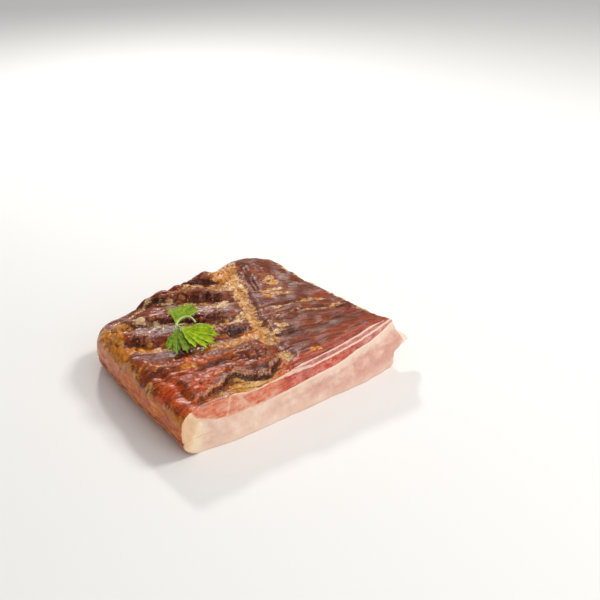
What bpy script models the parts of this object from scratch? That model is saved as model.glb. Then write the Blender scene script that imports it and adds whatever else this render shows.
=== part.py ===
"""A slab of smoked bacon, cut square at the front, with a sprig of coriander lying on its rib side.

The slab is one solid: a block whose edges are rounded, whose sides follow the trimmed outline, and
whose upper side carries the banks of meat left between the ribs. The sprig is one thin wavy solid.
Lengths are in millimetres in the functions below, and become metres when a mesh is filled. They are
measured from the cut face's lower left corner: x along the cut, y into the slab, z up from the skin.
"""
import math

import bmesh
import bpy
import numpy as np

MM = 0.001

# The slab's block, before its sides are trimmed to their real lines.
LENGTH = 228.0
DEPTH = 184.0
HEIGHT = 44.0
CELLS = (57, 46, 8)
# Where the cut face's lower left corner lies when the whole part is centred on its origin.
CORNER = (-117.47, -93.37)

# Radii of the rounded edges: the skin curls up at the left, and the top shoulder is soft there too.
LEFT_SKIN_RADIUS = 18.0
LEFT_TOP_RADIUS = 14.0
SKIN_RADIUS = 9.0
TOP_RADIUS = 8.0
BACK_LEFT_PLAN_RADIUS = 37.0
BACK_RIGHT_PLAN_RADIUS = 18.0
FRONT_PLAN_RADIUS = 3.0

# The trimmed sides: how far each wide side stands at places along it.
LEFT_LINE = ((0, -5), (60, -5), (110, -2), (140, 0), (184, 3))
RIGHT_LINE = ((0, 221), (20, 220), (47, 217), (78, 215), (120, 211), (155, 213.5), (184, 211.5))
BACK_LINE = ((0, 183), (60, 183), (100, 184), (140, 184), (160, 190), (185, 192), (200, 189), (228, 184))

# Thickness of the slab along the cut edge, and further in between the ribs.
CUT_TOP = ((-6, 41.5), (45, 41.5), (58, 38), (80, 38), (100, 40.5), (113, 44), (150, 45.5), (190, 49))
INSIDE_LEFT = 42.5
INSIDE_RIGHT = 46.5
INSIDE_FROM = 20.0
BACK_LEFT_DROP = 8.5
BACK_RIGHT_LIFT = 5.0
# The cut isn't quite upright: its upper edge leans back at the right, and its foot stands forward.
CUT_LEAN = 5.0
CUT_FOOT = 4.5

# The front sheet of muscle ends in a ragged step above the cut edge.
STEP_LINE = ((12, 7), (20, 10), (38, 12), (50, 17), (58, 18), (64, 13), (76, 8), (84, 7), (104, 16))
STEP_HEIGHT = 4.2

# Banks of meat between the ribs: centre line, half width and height.
BANKS = (
    (((15, 129), (32, 109), (78, 84), (114, 76)), 9.0, 5.0),
    (((22, 150), (50, 142), (66, 134), (85, 117), (116, 100)), 8.5, 5.0),
    (((66, 183), (89, 165), (109, 151), (132, 131)), 9.0, 6.5),
    (((90, 190), (108, 169), (129, 141)), 7.0, 3.8),
    (((100, 194), (124, 180), (142, 167)), 10.0, 7.5),
    (((-1, 84), (11, 72), (32, 60), (60, 54)), 14.0, 3.5),
    (((-3, 42), (11, 33), (30, 27), (46, 25)), 12.0, 2.0),
    (((58, 22), (74, 18), (92, 16)), 9.0, 2.5),
    (((66, 45), (84, 38), (97, 26)), 12.0, 3.5),
)

# Sunk lines of fat and creases: centre line, half width and depth.
SEAMS = (
    (((112, 14), (111, 35), (118, 55), (127, 82), (141, 115), (150, 138), (160, 166)), 8.0, 2.0),
    (((132, 99), (150, 95), (167, 87), (202, 70)), 3.5, 1.3),
    (((125, 74), (149, 79), (185, 65), (208, 47)), 3.5, 1.3),
    (((121, 48), (143, 42), (174, 38), (211, 34)), 3.5, 1.2),
    (((-10, 62), (0, 52), (12, 49), (25, 43), (52, 39)), 3.5, 1.8),
    (((174, 172), (170, 155), (160, 128)), 4.5, 1.6),
)

# The frilled flap of fat that hangs from the right end of the cut.
FLAP_AT = (5.0, 26.0)
FLAP_SIZE = (5.5, 8.5)
FLAP_REACH = 21.0
FLAP_DROOP = 7.0
# The crease round the sides where the skin layer begins.
SKIN_CREASE_AT = 14.0
SKIN_CREASE_DEPTH = 1.1

# The sprig: each leaflet's foot, direction in degrees, reach, half spread in degrees and lobes.
LEAFLETS = (
    ((52.0, 99.5), 44.0, 38.0, 34.0, 4),
    ((51.0, 98.0), 247.0, 39.0, 28.0, 4),
    ((52.5, 98.0), -65.0, 40.0, 37.0, 5),
)
STALKS = (
    (((56.0, 103.7), (51.6, 98.7), (48.7, 93.2)), 0.0, 0.75),
    (((51.3, 99.4), (53.3, 96.0), (55.1, 92.2)), 0.0, 0.7),
    (((51.9, 98.2), (55.2, 98.3), (59.4, 97.1)), 0.0, 0.7),
    (((52.0, 98.9), (57.6, 102.6), (63.2, 102.9), (66.6, 97.9), (66.2, 90.0)), 4.4, 1.0),
)
LEAF_THICKNESS = 0.6
LEAF_FOOT = 3.0
# The sprig's underside: its height at its front tips, its slope, and where it starts to droop again.
LEAF_REST = 48.2
LEAF_LOWEST_AT = 60.0
LEAF_SLOPE = 0.22
LEAF_CREST_AT = 94.0
LEAF_DROOP = 0.006
LEAF_CLEARANCE = 0.4


def smooth(low, high, value):
    """Rises from 0 at low to 1 at high, without corners."""
    share = np.clip((value - low) / (high - low), 0.0, 1.0)
    return share * share * (3.0 - 2.0 * share)


def wander(x, y, cell, seed):
    """Smooth noise between -1 and 1 whose bumps are about one cell across."""
    table = np.random.default_rng(seed).uniform(-1.0, 1.0, (64, 64))
    column, row = x / cell + 640.0, y / cell + 640.0
    i, j = np.floor(column).astype(int), np.floor(row).astype(int)
    s, t = smooth(0.0, 1.0, column - i), smooth(0.0, 1.0, row - j)
    near = table[i % 64, j % 64] * (1.0 - s) + table[(i + 1) % 64, j % 64] * s
    far = table[i % 64, (j + 1) % 64] * (1.0 - s) + table[(i + 1) % 64, (j + 1) % 64] * s
    return near * (1.0 - t) + far * t


def along(line, value):
    """Reads a line of (place, amount) pairs at a place."""
    places, amounts = zip(*line)
    return np.interp(value, places, amounts)


def distance_to(line, x, y):
    """Distance in plan from each point to a bent line."""
    nearest = np.full(np.shape(x), np.inf)
    for (x0, y0), (x1, y1) in zip(line, line[1:]):
        run, rise = x1 - x0, y1 - y0
        share = np.clip(((x - x0) * run + (y - y0) * rise) / (run * run + rise * rise), 0.0, 1.0)
        nearest = np.minimum(nearest, np.hypot(x - x0 - share * run, y - y0 - share * rise))
    return nearest


def round_corner(a, b, radius):
    """Turns the square corner at a = b = 0 into an arc."""
    across, up = np.maximum(radius - a, 0.0), np.maximum(radius - b, 0.0)
    inside = (across > 0.0) & (up > 0.0)
    reach = np.where(inside, np.hypot(across, up), 1.0)
    pull = np.where(inside, np.maximum(across, up) / reach, 1.0)
    return radius - (radius - a) * pull, radius - (radius - b) * pull


def rounded_block(x, y, z):
    """Rounds the block's long edges, then its corners in plan."""
    near_left = 1.0 - smooth(-25.0, 25.0, x + y - DEPTH)
    skin = SKIN_RADIUS + (LEFT_SKIN_RADIUS - SKIN_RADIUS) * near_left
    top = TOP_RADIUS + (LEFT_TOP_RADIUS - TOP_RADIUS) * near_left
    x, z = round_corner(x, z, skin)
    x, drop = round_corner(x, HEIGHT - z, top)
    inset, z = round_corner(LENGTH - x, HEIGHT - drop, SKIN_RADIUS)
    inset, drop = round_corner(inset, HEIGHT - z, TOP_RADIUS)
    x = LENGTH - inset
    inset, z = round_corner(DEPTH - y, HEIGHT - drop, skin)
    inset, drop = round_corner(inset, HEIGHT - z, top)
    y, z = DEPTH - inset, HEIGHT - drop
    x, inset = round_corner(x, DEPTH - y, BACK_LEFT_PLAN_RADIUS)
    far, inset = round_corner(LENGTH - x, inset, BACK_RIGHT_PLAN_RADIUS)
    far, y = round_corner(far, DEPTH - inset, FRONT_PLAN_RADIUS)
    x, y = round_corner(LENGTH - far, y, FRONT_PLAN_RADIUS)
    return x, y, z


def thickness(x, y):
    """Height of the slab's upper side without the meat that stands on it."""
    inside = INSIDE_LEFT + (INSIDE_RIGHT - INSIDE_LEFT) * smooth(0.0, 200.0, x)
    level = along(CUT_TOP, x) + (inside - along(CUT_TOP, x)) * smooth(0.0, INSIDE_FROM, y)
    corner = 1.0 - smooth(0.2, 1.0, np.hypot((x - 20.0) / 80.0, (y - 190.0) / 55.0))
    lump = 1.0 - smooth(0.1, 1.0, np.hypot((x - 172.0) / 40.0, (y - 184.0) / 48.0))
    return level - BACK_LEFT_DROP * corner + BACK_RIGHT_LIFT * lump


def relief(x, y):
    """Height of the meat above that level: the front step, the banks, the seams and small lumps."""
    x_bent = x + 2.5 * wander(x, y, 17.0, 1)
    y_bent = y + 2.5 * wander(x, y, 15.0, 2)
    height = np.zeros(np.shape(x))
    for line, half_width, rise in BANKS:
        share = np.clip(distance_to(line, x_bent, y_bent) / half_width, 0.0, 1.0)
        height = np.maximum(height, rise * (1.0 - share * share) ** 1.2)
    for line, half_width, depth in SEAMS:
        height = height - depth * (1.0 - smooth(0.0, half_width, distance_to(line, x_bent, y_bent)))
    edge = along(STEP_LINE, x) + 1.2 * wander(x, y, 6.0, 3)
    step = smooth(-0.8, 1.2, y - edge) * smooth(10.0, 17.0, x) * (1.0 - smooth(98.0, 106.0, x))
    height = height + STEP_HEIGHT * step * (1.0 - smooth(35.0, 75.0, y))
    bands = np.sin((y + 0.12 * x) / 3.4) * smooth(115.0, 135.0, x) * smooth(14.0, 24.0, y)
    lumps = 0.9 * wander(x, y, 9.0, 4) * smooth(4.0, 12.0, y)
    return height + 0.25 * bands + lumps


def side_relief(run, z):
    """How far the trimmed sides stand out: the crease above the skin, and soft lumps."""
    crease = SKIN_CREASE_DEPTH * (1.0 - smooth(0.0, 3.0, np.abs(z - SKIN_CREASE_AT)))
    return 1.1 * wander(run, z, 16.0, 5) - crease


def slab_surface(u, v, w):
    """Places the unit block's points on the slab."""
    x, y, z = rounded_block(u * LENGTH, v * DEPTH, w * HEIGHT)
    at_left, at_right = 1.0 - smooth(0.0, 14.0, x), smooth(LENGTH - 12.0, LENGTH, x)
    at_back, at_front = smooth(DEPTH - 12.0, DEPTH, y), 1.0 - smooth(0.0, 30.0, y)
    left, right = along(LEFT_LINE, y), along(RIGHT_LINE, y)
    x = left + x / LENGTH * (right - left)
    y = y / DEPTH * along(BACK_LINE, x)
    share = z / HEIGHT
    z = share * thickness(x, y) + smooth(0.6, 1.0, share) * relief(x, y)
    sides = smooth(0.0, 5.0, z)
    off_flap = np.hypot((y - FLAP_AT[0]) / FLAP_SIZE[0], (z - FLAP_AT[1]) / FLAP_SIZE[1])
    flap = FLAP_REACH * np.exp(-(off_flap**2))
    x = x - at_left * sides * side_relief(y, z) + at_right * sides * (side_relief(y + 300.0, z) + flap)
    z = z - at_right * sides * FLAP_DROOP * flap / FLAP_REACH
    y = y + at_back * sides * side_relief(x + 600.0, z)
    lean = CUT_LEAN * smooth(100.0, 185.0, x) * smooth(0.5, 1.0, share)
    foot = CUT_FOOT * smooth(8.0, 50.0, x) * (1.0 - smooth(180.0, 222.0, x))
    foot = foot * (1.0 - smooth(0.0, 0.7, share))
    y = y + at_front * (lean - foot + 0.5 * wander(x, z, 12.0, 6))
    return np.stack([x + CORNER[0], y + CORNER[1], z], axis=-1)


def surface_height(x, y):
    """Height of the slab's upper side over a place well inside its edges."""
    return thickness(x, y) + relief(x, y)


def leaf_height(x, y):
    """Height of the sprig's underside: it rises, droops again at the back and rides over the banks."""
    droop = LEAF_DROOP * np.maximum(y - LEAF_CREST_AT, 0.0) ** 2
    rise = LEAF_REST + LEAF_SLOPE * (y - LEAF_LOWEST_AT) - droop
    floor = surface_height(x, y) + LEAF_CLEARANCE
    gap = rise - floor
    return floor + 0.5 * (gap + np.sqrt(gap * gap + 4.0))


def place_points(mesh, shape):
    """Sends every point of a mesh through a function of its three coordinates, in millimetres."""
    points = np.empty(len(mesh.vertices) * 3, np.float32)
    mesh.vertices.foreach_get("co", points)
    placed = shape(*points.reshape(-1, 3).astype(float).T) * MM
    mesh.vertices.foreach_set("co", placed.astype(np.float32).ravel())
    mesh.update()


def material(name, colour, roughness):
    """A plain finish for one part."""
    finish = bpy.data.materials.new(name)
    finish.use_nodes = True
    shader = finish.node_tree.nodes["Principled BSDF"]
    shader.inputs["Base Color"].default_value = (*colour, 1.0)
    shader.inputs["Roughness"].default_value = roughness
    shader.inputs["Metallic"].default_value = 0.0
    finish.diffuse_color = (*colour, 1.0)
    return finish


def cut_block(cells):
    """A unit cube from 0 to 1, cut into the given cells along x, y and z."""
    form = bmesh.new()
    bmesh.ops.create_cube(form, size=1.0)
    bmesh.ops.translate(form, vec=(0.5, 0.5, 0.5), verts=form.verts)
    for axis, count in enumerate(cells):
        runs = [edge for edge in form.edges if abs((edge.verts[0].co - edge.verts[1].co)[axis]) > 0.01]
        bmesh.ops.subdivide_edges(form, edges=runs, cuts=count - 1, use_grid_fill=True)
    return form


def make_slab(collection):
    """The slab: a cut block sent through its surface, its flat skin left as one face."""
    form = cut_block(CELLS)
    mesh = bpy.data.meshes.new("bacon_slab")
    form.to_mesh(mesh)
    form.free()
    place_points(mesh, slab_surface)
    form = bmesh.new()
    form.from_mesh(mesh)
    resting = [face for face in form.faces if all(vert.co.z < 0.01 * MM for vert in face.verts)]
    bmesh.ops.dissolve_faces(form, faces=resting)
    bmesh.ops.triangulate(form, faces=form.faces, quad_method="BEAUTY", ngon_method="BEAUTY")
    form.to_mesh(mesh)
    form.free()
    mesh.shade_smooth()
    mesh.set_sharp_from_angle(angle=math.radians(55.0))
    mesh.materials.append(material("smoked_bacon", (0.30, 0.12, 0.08), 0.35))
    slab = bpy.data.objects.new("bacon_slab", mesh)
    collection.objects.link(slab)
    return slab


def rim_reach(across, reach, lobes):
    """How far a leaflet's rim lies from its foot, for a share across the fan: lobes with three teeth."""
    turn = 2.0 * across - 1.0
    lobe = np.abs(np.sin(np.pi * across * lobes)) ** 0.7
    teeth = -np.cos(6.0 * np.pi * across * lobes)
    return reach * (1.0 - 0.26 * turn * turn) * (0.70 + 0.25 * lobe + 0.05 * teeth)


def leaflet(name, foot, direction, reach, spread, lobes):
    """One fan-shaped leaflet with toothed lobes, as a thin closed sheet."""
    form = bmesh.new()
    bmesh.ops.create_grid(form, x_segments=lobes * 6, y_segments=4, size=0.5)
    bmesh.ops.translate(form, vec=(0.5, 0.5, 0.0), verts=form.verts)
    mesh = bpy.data.meshes.new(name)
    form.to_mesh(mesh)
    form.free()

    def fan(across, out, _):
        turn = 2.0 * across - 1.0
        radius = LEAF_FOOT + (rim_reach(across, reach, lobes) - LEAF_FOOT) * out
        angle = math.radians(direction) - turn * math.radians(spread) * (0.6 + 0.4 * out)
        x = foot[0] + radius * np.cos(angle)
        y = foot[1] + radius * np.sin(angle)
        folds = 0.5 * out * (1.0 + np.cos(2.0 * np.pi * across * lobes))
        wave = 1.2 * out * out * (1.0 + np.sin(4.0 * turn + direction))
        return np.stack([x + CORNER[0], y + CORNER[1], leaf_height(x, y) + folds + wave], axis=-1)

    place_points(mesh, fan)
    form = bmesh.new()
    form.from_mesh(mesh)
    bmesh.ops.triangulate(form, faces=form.faces)
    bmesh.ops.recalc_face_normals(form, faces=form.faces)
    if sum(face.normal.z for face in form.faces) < 0.0:
        bmesh.ops.reverse_faces(form, faces=form.faces)
    form.to_mesh(mesh)
    form.free()
    sheet = bpy.data.objects.new(name, mesh)
    wall = sheet.modifiers.new("thickness", "SOLIDIFY")
    wall.thickness = LEAF_THICKNESS * MM
    wall.offset = 1.0
    return sheet


def stalk(name, line, lift, radius):
    """A round stalk along a bent line, half sunk in the leaflets' feet, as a closed tube."""
    curve = bpy.data.curves.new(name, "CURVE")
    curve.dimensions = "3D"
    curve.bevel_depth = radius * MM
    curve.bevel_resolution = 1
    curve.use_fill_caps = True
    spline = curve.splines.new("POLY")
    spline.points.add(len(line) - 1)
    for number, (point, (x, y)) in enumerate(zip(spline.points, line)):
        raised = lift * number / (len(line) - 1)
        z = float(leaf_height(np.array(x), np.array(y))) + 0.4 + raised
        point.co = ((x + CORNER[0]) * MM, (y + CORNER[1]) * MM, z * MM, 1.0)
    guide = bpy.data.objects.new(name + "_guide", curve)
    bpy.context.scene.collection.objects.link(guide)
    graph = bpy.context.evaluated_depsgraph_get()
    mesh = bpy.data.meshes.new_from_object(guide.evaluated_get(graph))
    bpy.data.objects.remove(guide)
    form = bmesh.new()
    form.from_mesh(mesh)
    bmesh.ops.remove_doubles(form, verts=form.verts, dist=0.00001)
    form.to_mesh(mesh)
    form.free()
    return bpy.data.objects.new(name, mesh)


def make_sprig(collection):
    """The sprig: leaflets and stalks joined into one solid by one union."""
    pieces = bpy.data.collections.new("sprig_pieces")
    bpy.context.scene.collection.children.link(pieces)
    for number, (foot, direction, reach, spread, lobes) in enumerate(LEAFLETS):
        pieces.objects.link(leaflet(f"leaflet_{number}", foot, direction, reach, spread, lobes))
    for number, (line, lift, radius) in enumerate(STALKS[1:]):
        pieces.objects.link(stalk(f"stalk_{number}", line, lift, radius))
    sprig = stalk("coriander_sprig", *STALKS[0])
    collection.objects.link(sprig)
    union = sprig.modifiers.new("join", "BOOLEAN")
    union.operation = "UNION"
    union.operand_type = "COLLECTION"
    union.collection = pieces
    graph = bpy.context.evaluated_depsgraph_get()
    joined = bpy.data.meshes.new_from_object(sprig.evaluated_get(graph))
    sprig.modifiers.clear()
    sprig.data = joined
    for piece in list(pieces.objects):
        bpy.data.objects.remove(piece)
    bpy.data.collections.remove(pieces)
    joined.name = "coriander_sprig"
    joined.shade_smooth()
    joined.set_sharp_from_angle(angle=math.radians(50.0))
    joined.materials.clear()
    joined.materials.append(material("coriander_leaf", (0.20, 0.36, 0.04), 0.45))
    return sprig


def main():
    for obj in list(bpy.data.objects):
        bpy.data.objects.remove(obj)
    collection = bpy.data.collections.new("smoked_bacon_slab")
    bpy.context.scene.collection.children.link(collection)
    make_slab(collection)
    make_sprig(collection)


main()
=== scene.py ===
"""The looks of a slab of smoked bacon, with a sprig of coriander lying on its rib side.

Lengths are in millimetres in the functions, measured from the cut face's lower left corner: x along
the cut, y into the slab, z up from the skin. They become metres, and move by CORNER, when a mesh is
filled. The slab's main form repeats the solid's, and the crags, fibres and colours come on top of it.
"""
import math
from types import SimpleNamespace

import bmesh
import bpy
import numpy as np
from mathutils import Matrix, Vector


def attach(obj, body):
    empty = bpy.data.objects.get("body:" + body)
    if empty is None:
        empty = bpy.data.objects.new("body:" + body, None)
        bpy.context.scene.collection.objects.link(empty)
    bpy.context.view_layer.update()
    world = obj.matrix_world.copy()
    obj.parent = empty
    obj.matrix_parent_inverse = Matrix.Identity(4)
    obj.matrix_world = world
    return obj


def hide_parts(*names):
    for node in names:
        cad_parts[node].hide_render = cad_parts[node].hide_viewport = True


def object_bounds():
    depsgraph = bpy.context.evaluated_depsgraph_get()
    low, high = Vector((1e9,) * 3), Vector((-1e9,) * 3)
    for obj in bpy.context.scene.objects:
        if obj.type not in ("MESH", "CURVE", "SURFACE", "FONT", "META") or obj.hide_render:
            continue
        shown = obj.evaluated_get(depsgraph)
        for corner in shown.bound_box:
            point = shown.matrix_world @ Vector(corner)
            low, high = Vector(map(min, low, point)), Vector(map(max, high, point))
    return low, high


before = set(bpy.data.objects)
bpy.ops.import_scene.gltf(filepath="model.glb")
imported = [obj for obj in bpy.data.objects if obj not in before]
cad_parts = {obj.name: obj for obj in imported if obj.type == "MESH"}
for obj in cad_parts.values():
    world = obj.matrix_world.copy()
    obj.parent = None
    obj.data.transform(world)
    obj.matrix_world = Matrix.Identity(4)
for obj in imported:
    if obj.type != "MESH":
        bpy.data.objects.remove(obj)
SOLID_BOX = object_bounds()

MM = 0.001
BODY = "root"

# The solid slab's driving sizes, the corner of its cut face in the part's frame, and its rounded edges.
LENGTH = 228.0
DEPTH = 184.0
HEIGHT = 44.0
CORNER = (-117.47, -93.37)
LEFT_SKIN_RADIUS = 18.0
LEFT_TOP_RADIUS = 14.0
SKIN_RADIUS = 9.0
TOP_RADIUS = 8.0
BACK_LEFT_PLAN_RADIUS = 37.0
BACK_RIGHT_PLAN_RADIUS = 18.0
FRONT_PLAN_RADIUS = 3.0
# Its outline in plan: x of the left and right sides along y, and y of the back along x.
LEFT_LINE = ((0, -5), (60, -5), (110, -2), (140, 0), (184, 3))
RIGHT_LINE = ((0, 221), (20, 220), (47, 217), (78, 215), (120, 211), (155, 213.5), (184, 211.5))
BACK_LINE = ((0, 183), (60, 183), (100, 184), (140, 184), (160, 190), (185, 192), (200, 189), (228, 184))
# The cut face's height along x, and the height of the upper side further in.
CUT_TOP = ((-6, 41.5), (45, 41.5), (58, 38), (80, 38), (100, 40.5), (113, 44), (150, 45.5), (190, 49))
INSIDE_LEFT = 42.5
INSIDE_RIGHT = 46.5
INSIDE_FROM = 20.0
# How far the back left corner sinks and the back right rises, over ovals with these middles and half sizes.
BACK_LEFT_DROP = 8.5
BACK_LEFT_DROP_AT = (20.0, 190.0)
BACK_LEFT_DROP_SIZE = (80.0, 55.0)
BACK_RIGHT_LIFT = 5.0
BACK_RIGHT_LIFT_AT = (172.0, 184.0)
BACK_RIGHT_LIFT_SIZE = (40.0, 48.0)
# The cut face leans back at the upper right, and its foot stands forward.
CUT_LEAN = 5.0
CUT_FOOT = 4.5
# The edge of the front sheet of muscle, as y along x, and its height.
STEP_LINE = ((12, 7), (20, 10), (38, 12), (50, 17), (58, 18), (64, 13), (76, 8), (84, 7), (104, 16))
STEP_HEIGHT = 4.2
# Banks of meat between the ribs: route, half width and height.
BANKS = (
    (((15, 129), (32, 109), (78, 84), (114, 76)), 9.0, 5.0),
    (((22, 150), (50, 142), (66, 134), (85, 117), (116, 100)), 8.5, 5.0),
    (((66, 183), (89, 165), (109, 151), (132, 131)), 9.0, 6.5),
    (((90, 190), (108, 169), (129, 141)), 7.0, 3.8),
    (((100, 194), (124, 180), (142, 167)), 10.0, 7.5),
    (((-1, 84), (11, 72), (32, 60), (60, 54)), 14.0, 3.5),
    (((-3, 42), (11, 33), (30, 27), (46, 25)), 12.0, 2.0),
    (((58, 22), (74, 18), (92, 16)), 9.0, 2.5),
    (((66, 45), (84, 38), (97, 26)), 12.0, 3.5),
)
# Sunk seams of fat: route, half width and depth.
SEAMS = (
    (((112, 14), (111, 35), (118, 55), (127, 82), (141, 115), (150, 138), (160, 166)), 8.0, 2.0),
    (((132, 99), (150, 95), (167, 87), (202, 70)), 3.5, 1.3),
    (((125, 74), (149, 79), (185, 65), (208, 47)), 3.5, 1.3),
    (((121, 48), (143, 42), (174, 38), (211, 34)), 3.5, 1.2),
    (((-10, 62), (0, 52), (12, 49), (25, 43), (52, 39)), 3.5, 1.8),
    (((174, 172), (170, 155), (160, 128)), 4.5, 1.6),
)
# The flap of fat at the cut's right end: its middle and half sizes in y and z, its reach and its droop.
FLAP_AT = (5.0, 26.0)
FLAP_SIZE = (5.5, 8.5)
FLAP_REACH = 21.0
FLAP_DROOP = 7.0
# The crease above the skin: its height and depth.
SKIN_CREASE_AT = 14.0
SKIN_CREASE_DEPTH = 1.1

# The fine slab's cells along x, y and z, and how far it keeps inside the solid's box.
FINE_CELLS = (268, 216, 30)
BOX_MARGIN = 0.05
# How far a bank's end tapers, how far a bank leans over for each millimetre of its height, and how far the
# step's lip leans over and the wall below it is cut in.
BANK_TAPER = 16.0
BANK_OVERHANG = 0.28
LIP_OVERHANG = 1.5
UNDERCUT = 1.3
# How wide the pebbly lumps are across the fibres.
LARGE_PEBBLE = 4.6
SMALL_PEBBLE = 2.5
# How far out the surroundings of a place are read, to tell hollows, which get painted shade, from crests, which
# get a painted highlight.
HOLLOW_REACH = 2.4
# The direction towards the front of the cut face and a little left, as shares of -x and -y. Slopes that face it
# get painted shade.
TOWARDS_CUT = (0.36, 0.93)
# The muscle fibres fan out from a place beyond the right end.
FIBRE_POLE = (376.0, -38.6)
FIBRE_SPREAD = 276.0

# Fat that shows on the upper side, as lines: route, half width, and 0 pale, 0.5 golden, 1 amber.
FAT_LINES = (
    (((113, 44), (117, 56), (118, 70), (123, 84), (130, 100), (136, 120)), 6.5, 0.45),
    (((136, 120), (146, 136), (150, 152), (158, 176)), 7.0, 0.5),
    (((60, 68), (82, 60), (100, 60), (114, 64)), 6.0, 0.75),
    (((-4, 110), (6, 108), (16, 106), (26, 98), (36, 91)), 5.5, 0.95),
    (((85, 101), (97, 92), (112, 91), (120, 95)), 3.4, 0.3),
    (((88, 151), (101, 137), (107, 131)), 2.2, 0.5),
    (((100, 171), (118, 163), (133, 151), (145, 139)), 4.0, 0.45),
    (((26, 51), (37, 49)), 1.6, 0.9),
    (((-2, 73), (6, 76)), 1.8, 0.8),
    (((158, 113), (170, 109), (182, 105)), 2.2, 0.6),
    (((176, 128), (183, 133)), 3.0, 0.7),
    (((132, 75), (150, 80), (164, 72), (184, 63), (202, 58)), 1.1, 0.55),
    (((138, 94), (152, 89), (166, 85), (182, 83), (198, 74)), 1.2, 0.6),
    (((18, 148), (30, 162), (50, 170), (68, 176)), 1.8, 0.1),
)
# Fat spots: centre, half length, half width, turn in degrees, and 0 pale, 0.5 golden, 1 amber.
FAT_SPOTS = (
    (109, 17, 10, 6.5, 60, 0.25),
    (18, 144, 12, 7, -20, 0.75),
    (115, 124, 9, 4.5, -20, 0.0),
    (50, 130, 9, 5, -30, 0.05),
    (79, 163, 9, 3.5, -35, 0.2),
    (39, 143, 6, 4.5, -40, 0.15),
    (130, 152, 10, 4, -35, 0.5),
    (148, 172, 17, 15, 60, 0.7),
    (140, 152, 12, 7, 60, 0.6),
    (180, 140, 8, 4, 30, 0.5),
    (168, 119, 10, 3.5, -25, 0.5),
    (137, 60, 6, 5, 70, 0.35),
    (128, 52, 5, 4, -15, 0.3),
    (136, 7, 5, 2, -10, 0.9),
    (171, 13, 5, 1.5, -20, 0.9),
    (17, 63, 8, 1.8, -25, 0.9),
)
# Where the golden fat of the left shoulder begins: y and x.
SHOULDER_LINE = ((0, -1), (12, -2), (26, -5), (43, -4), (55, 1), (64, -4), (78, -2), (99, 6), (120, 11),
                 (131, 16), (165, 16))
# How far the pale fat of the right side reaches over the edge.
RIGHT_RIM = 6.0
# Spots on the lean: centre, half length, half width, turn in degrees and strength. Red spots tint the lean,
# grey ones are painted sheen, char ones are char.
RED_SPOTS = (
    (2, 35, 14, 9, -15, 1.0),
    (30, 60, 26, 4, -18, 0.8),
    (36, 38, 24, 4, -20, 0.6),
    (39, 101, 12, 6, -15, 0.8),
    (170, 20, 44, 6, -2, 0.8),
    (205, 22, 14, 10, 0, 1.0),
    (199, 46, 17, 7, -40, 1.0),
    (201, 84, 14, 8, -55, 1.0),
    (196, 62, 12, 4, -30, 0.8),
    (118, 4, 26, 4, -3, 0.9),
    (165, 6, 44, 4, 0, 0.8),
    (140, 33, 20, 4, -5, 0.7),
    (28, 22, 18, 8, 10, 0.7),
    (95, 176, 16, 5, -40, 0.6),
    (150, 75, 14, 3, -10, 0.5),
    (28, 158, 9, 5, 40, 0.8),
)
# Painted sheen: greyish reflected light, in spots.
PAINTED_SHEEN_SPOTS = (
    (172, 33, 40, 5, -2, 1.0),
    (186, 77, 20, 4, -25, 0.9),
    (152, 64, 22, 4, -15, 0.6),
    (86, 42, 13, 8, -20, 0.9),
    (62, 55, 24, 5, -15, 0.6),
    (16, 82, 20, 4, -25, 0.5),
    (118, 143, 14, 4, -35, 0.7),
    (190, 172, 20, 20, 0, 0.5),
    (192, 112, 16, 12, -40, 0.6),
    (160, 100, 20, 5, -25, 0.4),
)
# Char spots; where their slopes face the cut they are darkened further as painted shade.
CHAR_SPOTS = (
    (99, 73, 20, 6, -22, 0.9),
    (92, 112, 26, 5, -32, 0.9),
    (27, 117, 15, 9, -25, 0.75),
    (52, 143, 16, 4, -20, 0.7),
    (100, 153, 26, 4, -35, 0.7),
    (122, 175, 20, 7, -30, 0.6),
    (88, 27, 13, 8, -30, 0.6),
    (52, 24, 10, 4, 25, 0.5),
    (70, 15, 22, 4, -8, 0.6),
    (170, 144, 7, 16, 15, 0.7),
    (186, 184, 14, 8, 0, 0.7),
    (22, 162, 6, 14, -40, 0.5),
    (27, 14, 14, 3, 12, 0.6),
)
# Where the lean is made of pebbly lumps: centre, half length, half width, turn in degrees and strength.
PEBBLE_SPOTS = (
    (138, 45, 20, 14, -20, 0.9),
    (82, 32, 26, 14, -20, 1.0),
    (42, 56, 30, 12, -20, 0.8),
    (44, 20, 26, 9, 10, 0.8),
    (28, 117, 20, 12, -25, 1.0),
    (90, 75, 30, 10, -22, 1.0),
    (80, 118, 42, 11, -32, 1.0),
    (98, 155, 36, 12, -35, 1.0),
    (118, 178, 28, 12, -30, 0.9),
    (174, 155, 20, 26, 10, 0.9),
    (60, 135, 26, 10, -25, 0.8),
)

# Layers of the cut face: height of each border along x, from the skin side up.
LEAN_FOOT = ((4, 42), (6, 38), (9, 34), (17, 30), (28, 25), (42, 23), (71, 22.5), (90, 23), (111, 25),
             (132, 27), (149, 28), (160, 30), (172, 34), (189, 37), (205, 43), (214, 48))
LEAN_HEAD = ((4, 42), (11, 46), (35, 46), (42, 42), (50, 38.5), (57, 36.5), (67, 36.5), (80, 37.5), (95, 37.5),
             (111, 37), (125, 36.2), (150, 38), (176, 41.2), (195, 45), (214, 50))
UPPER_FOOT = ((96, 44), (104, 41.5), (112, 40.2), (125, 38.3), (150, 40), (176, 43.2), (195, 47.5), (214, 52))
UPPER_HEAD = ((96, 43), (104, 42), (112, 41.2), (125, 42.6), (150, 44), (176, 47.2), (195, 51), (214, 54))
CRUST_FOOT = ((96, 47), (104, 45), (111, 44), (125, 43.7), (150, 45.6), (176, 49), (186, 52), (214, 58))
# Along and up the cut face in millimetres, as a colour ramp's full width and its brightest grey.
CUT_SPAN = 232.0
CUT_RISE = 60.0
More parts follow.
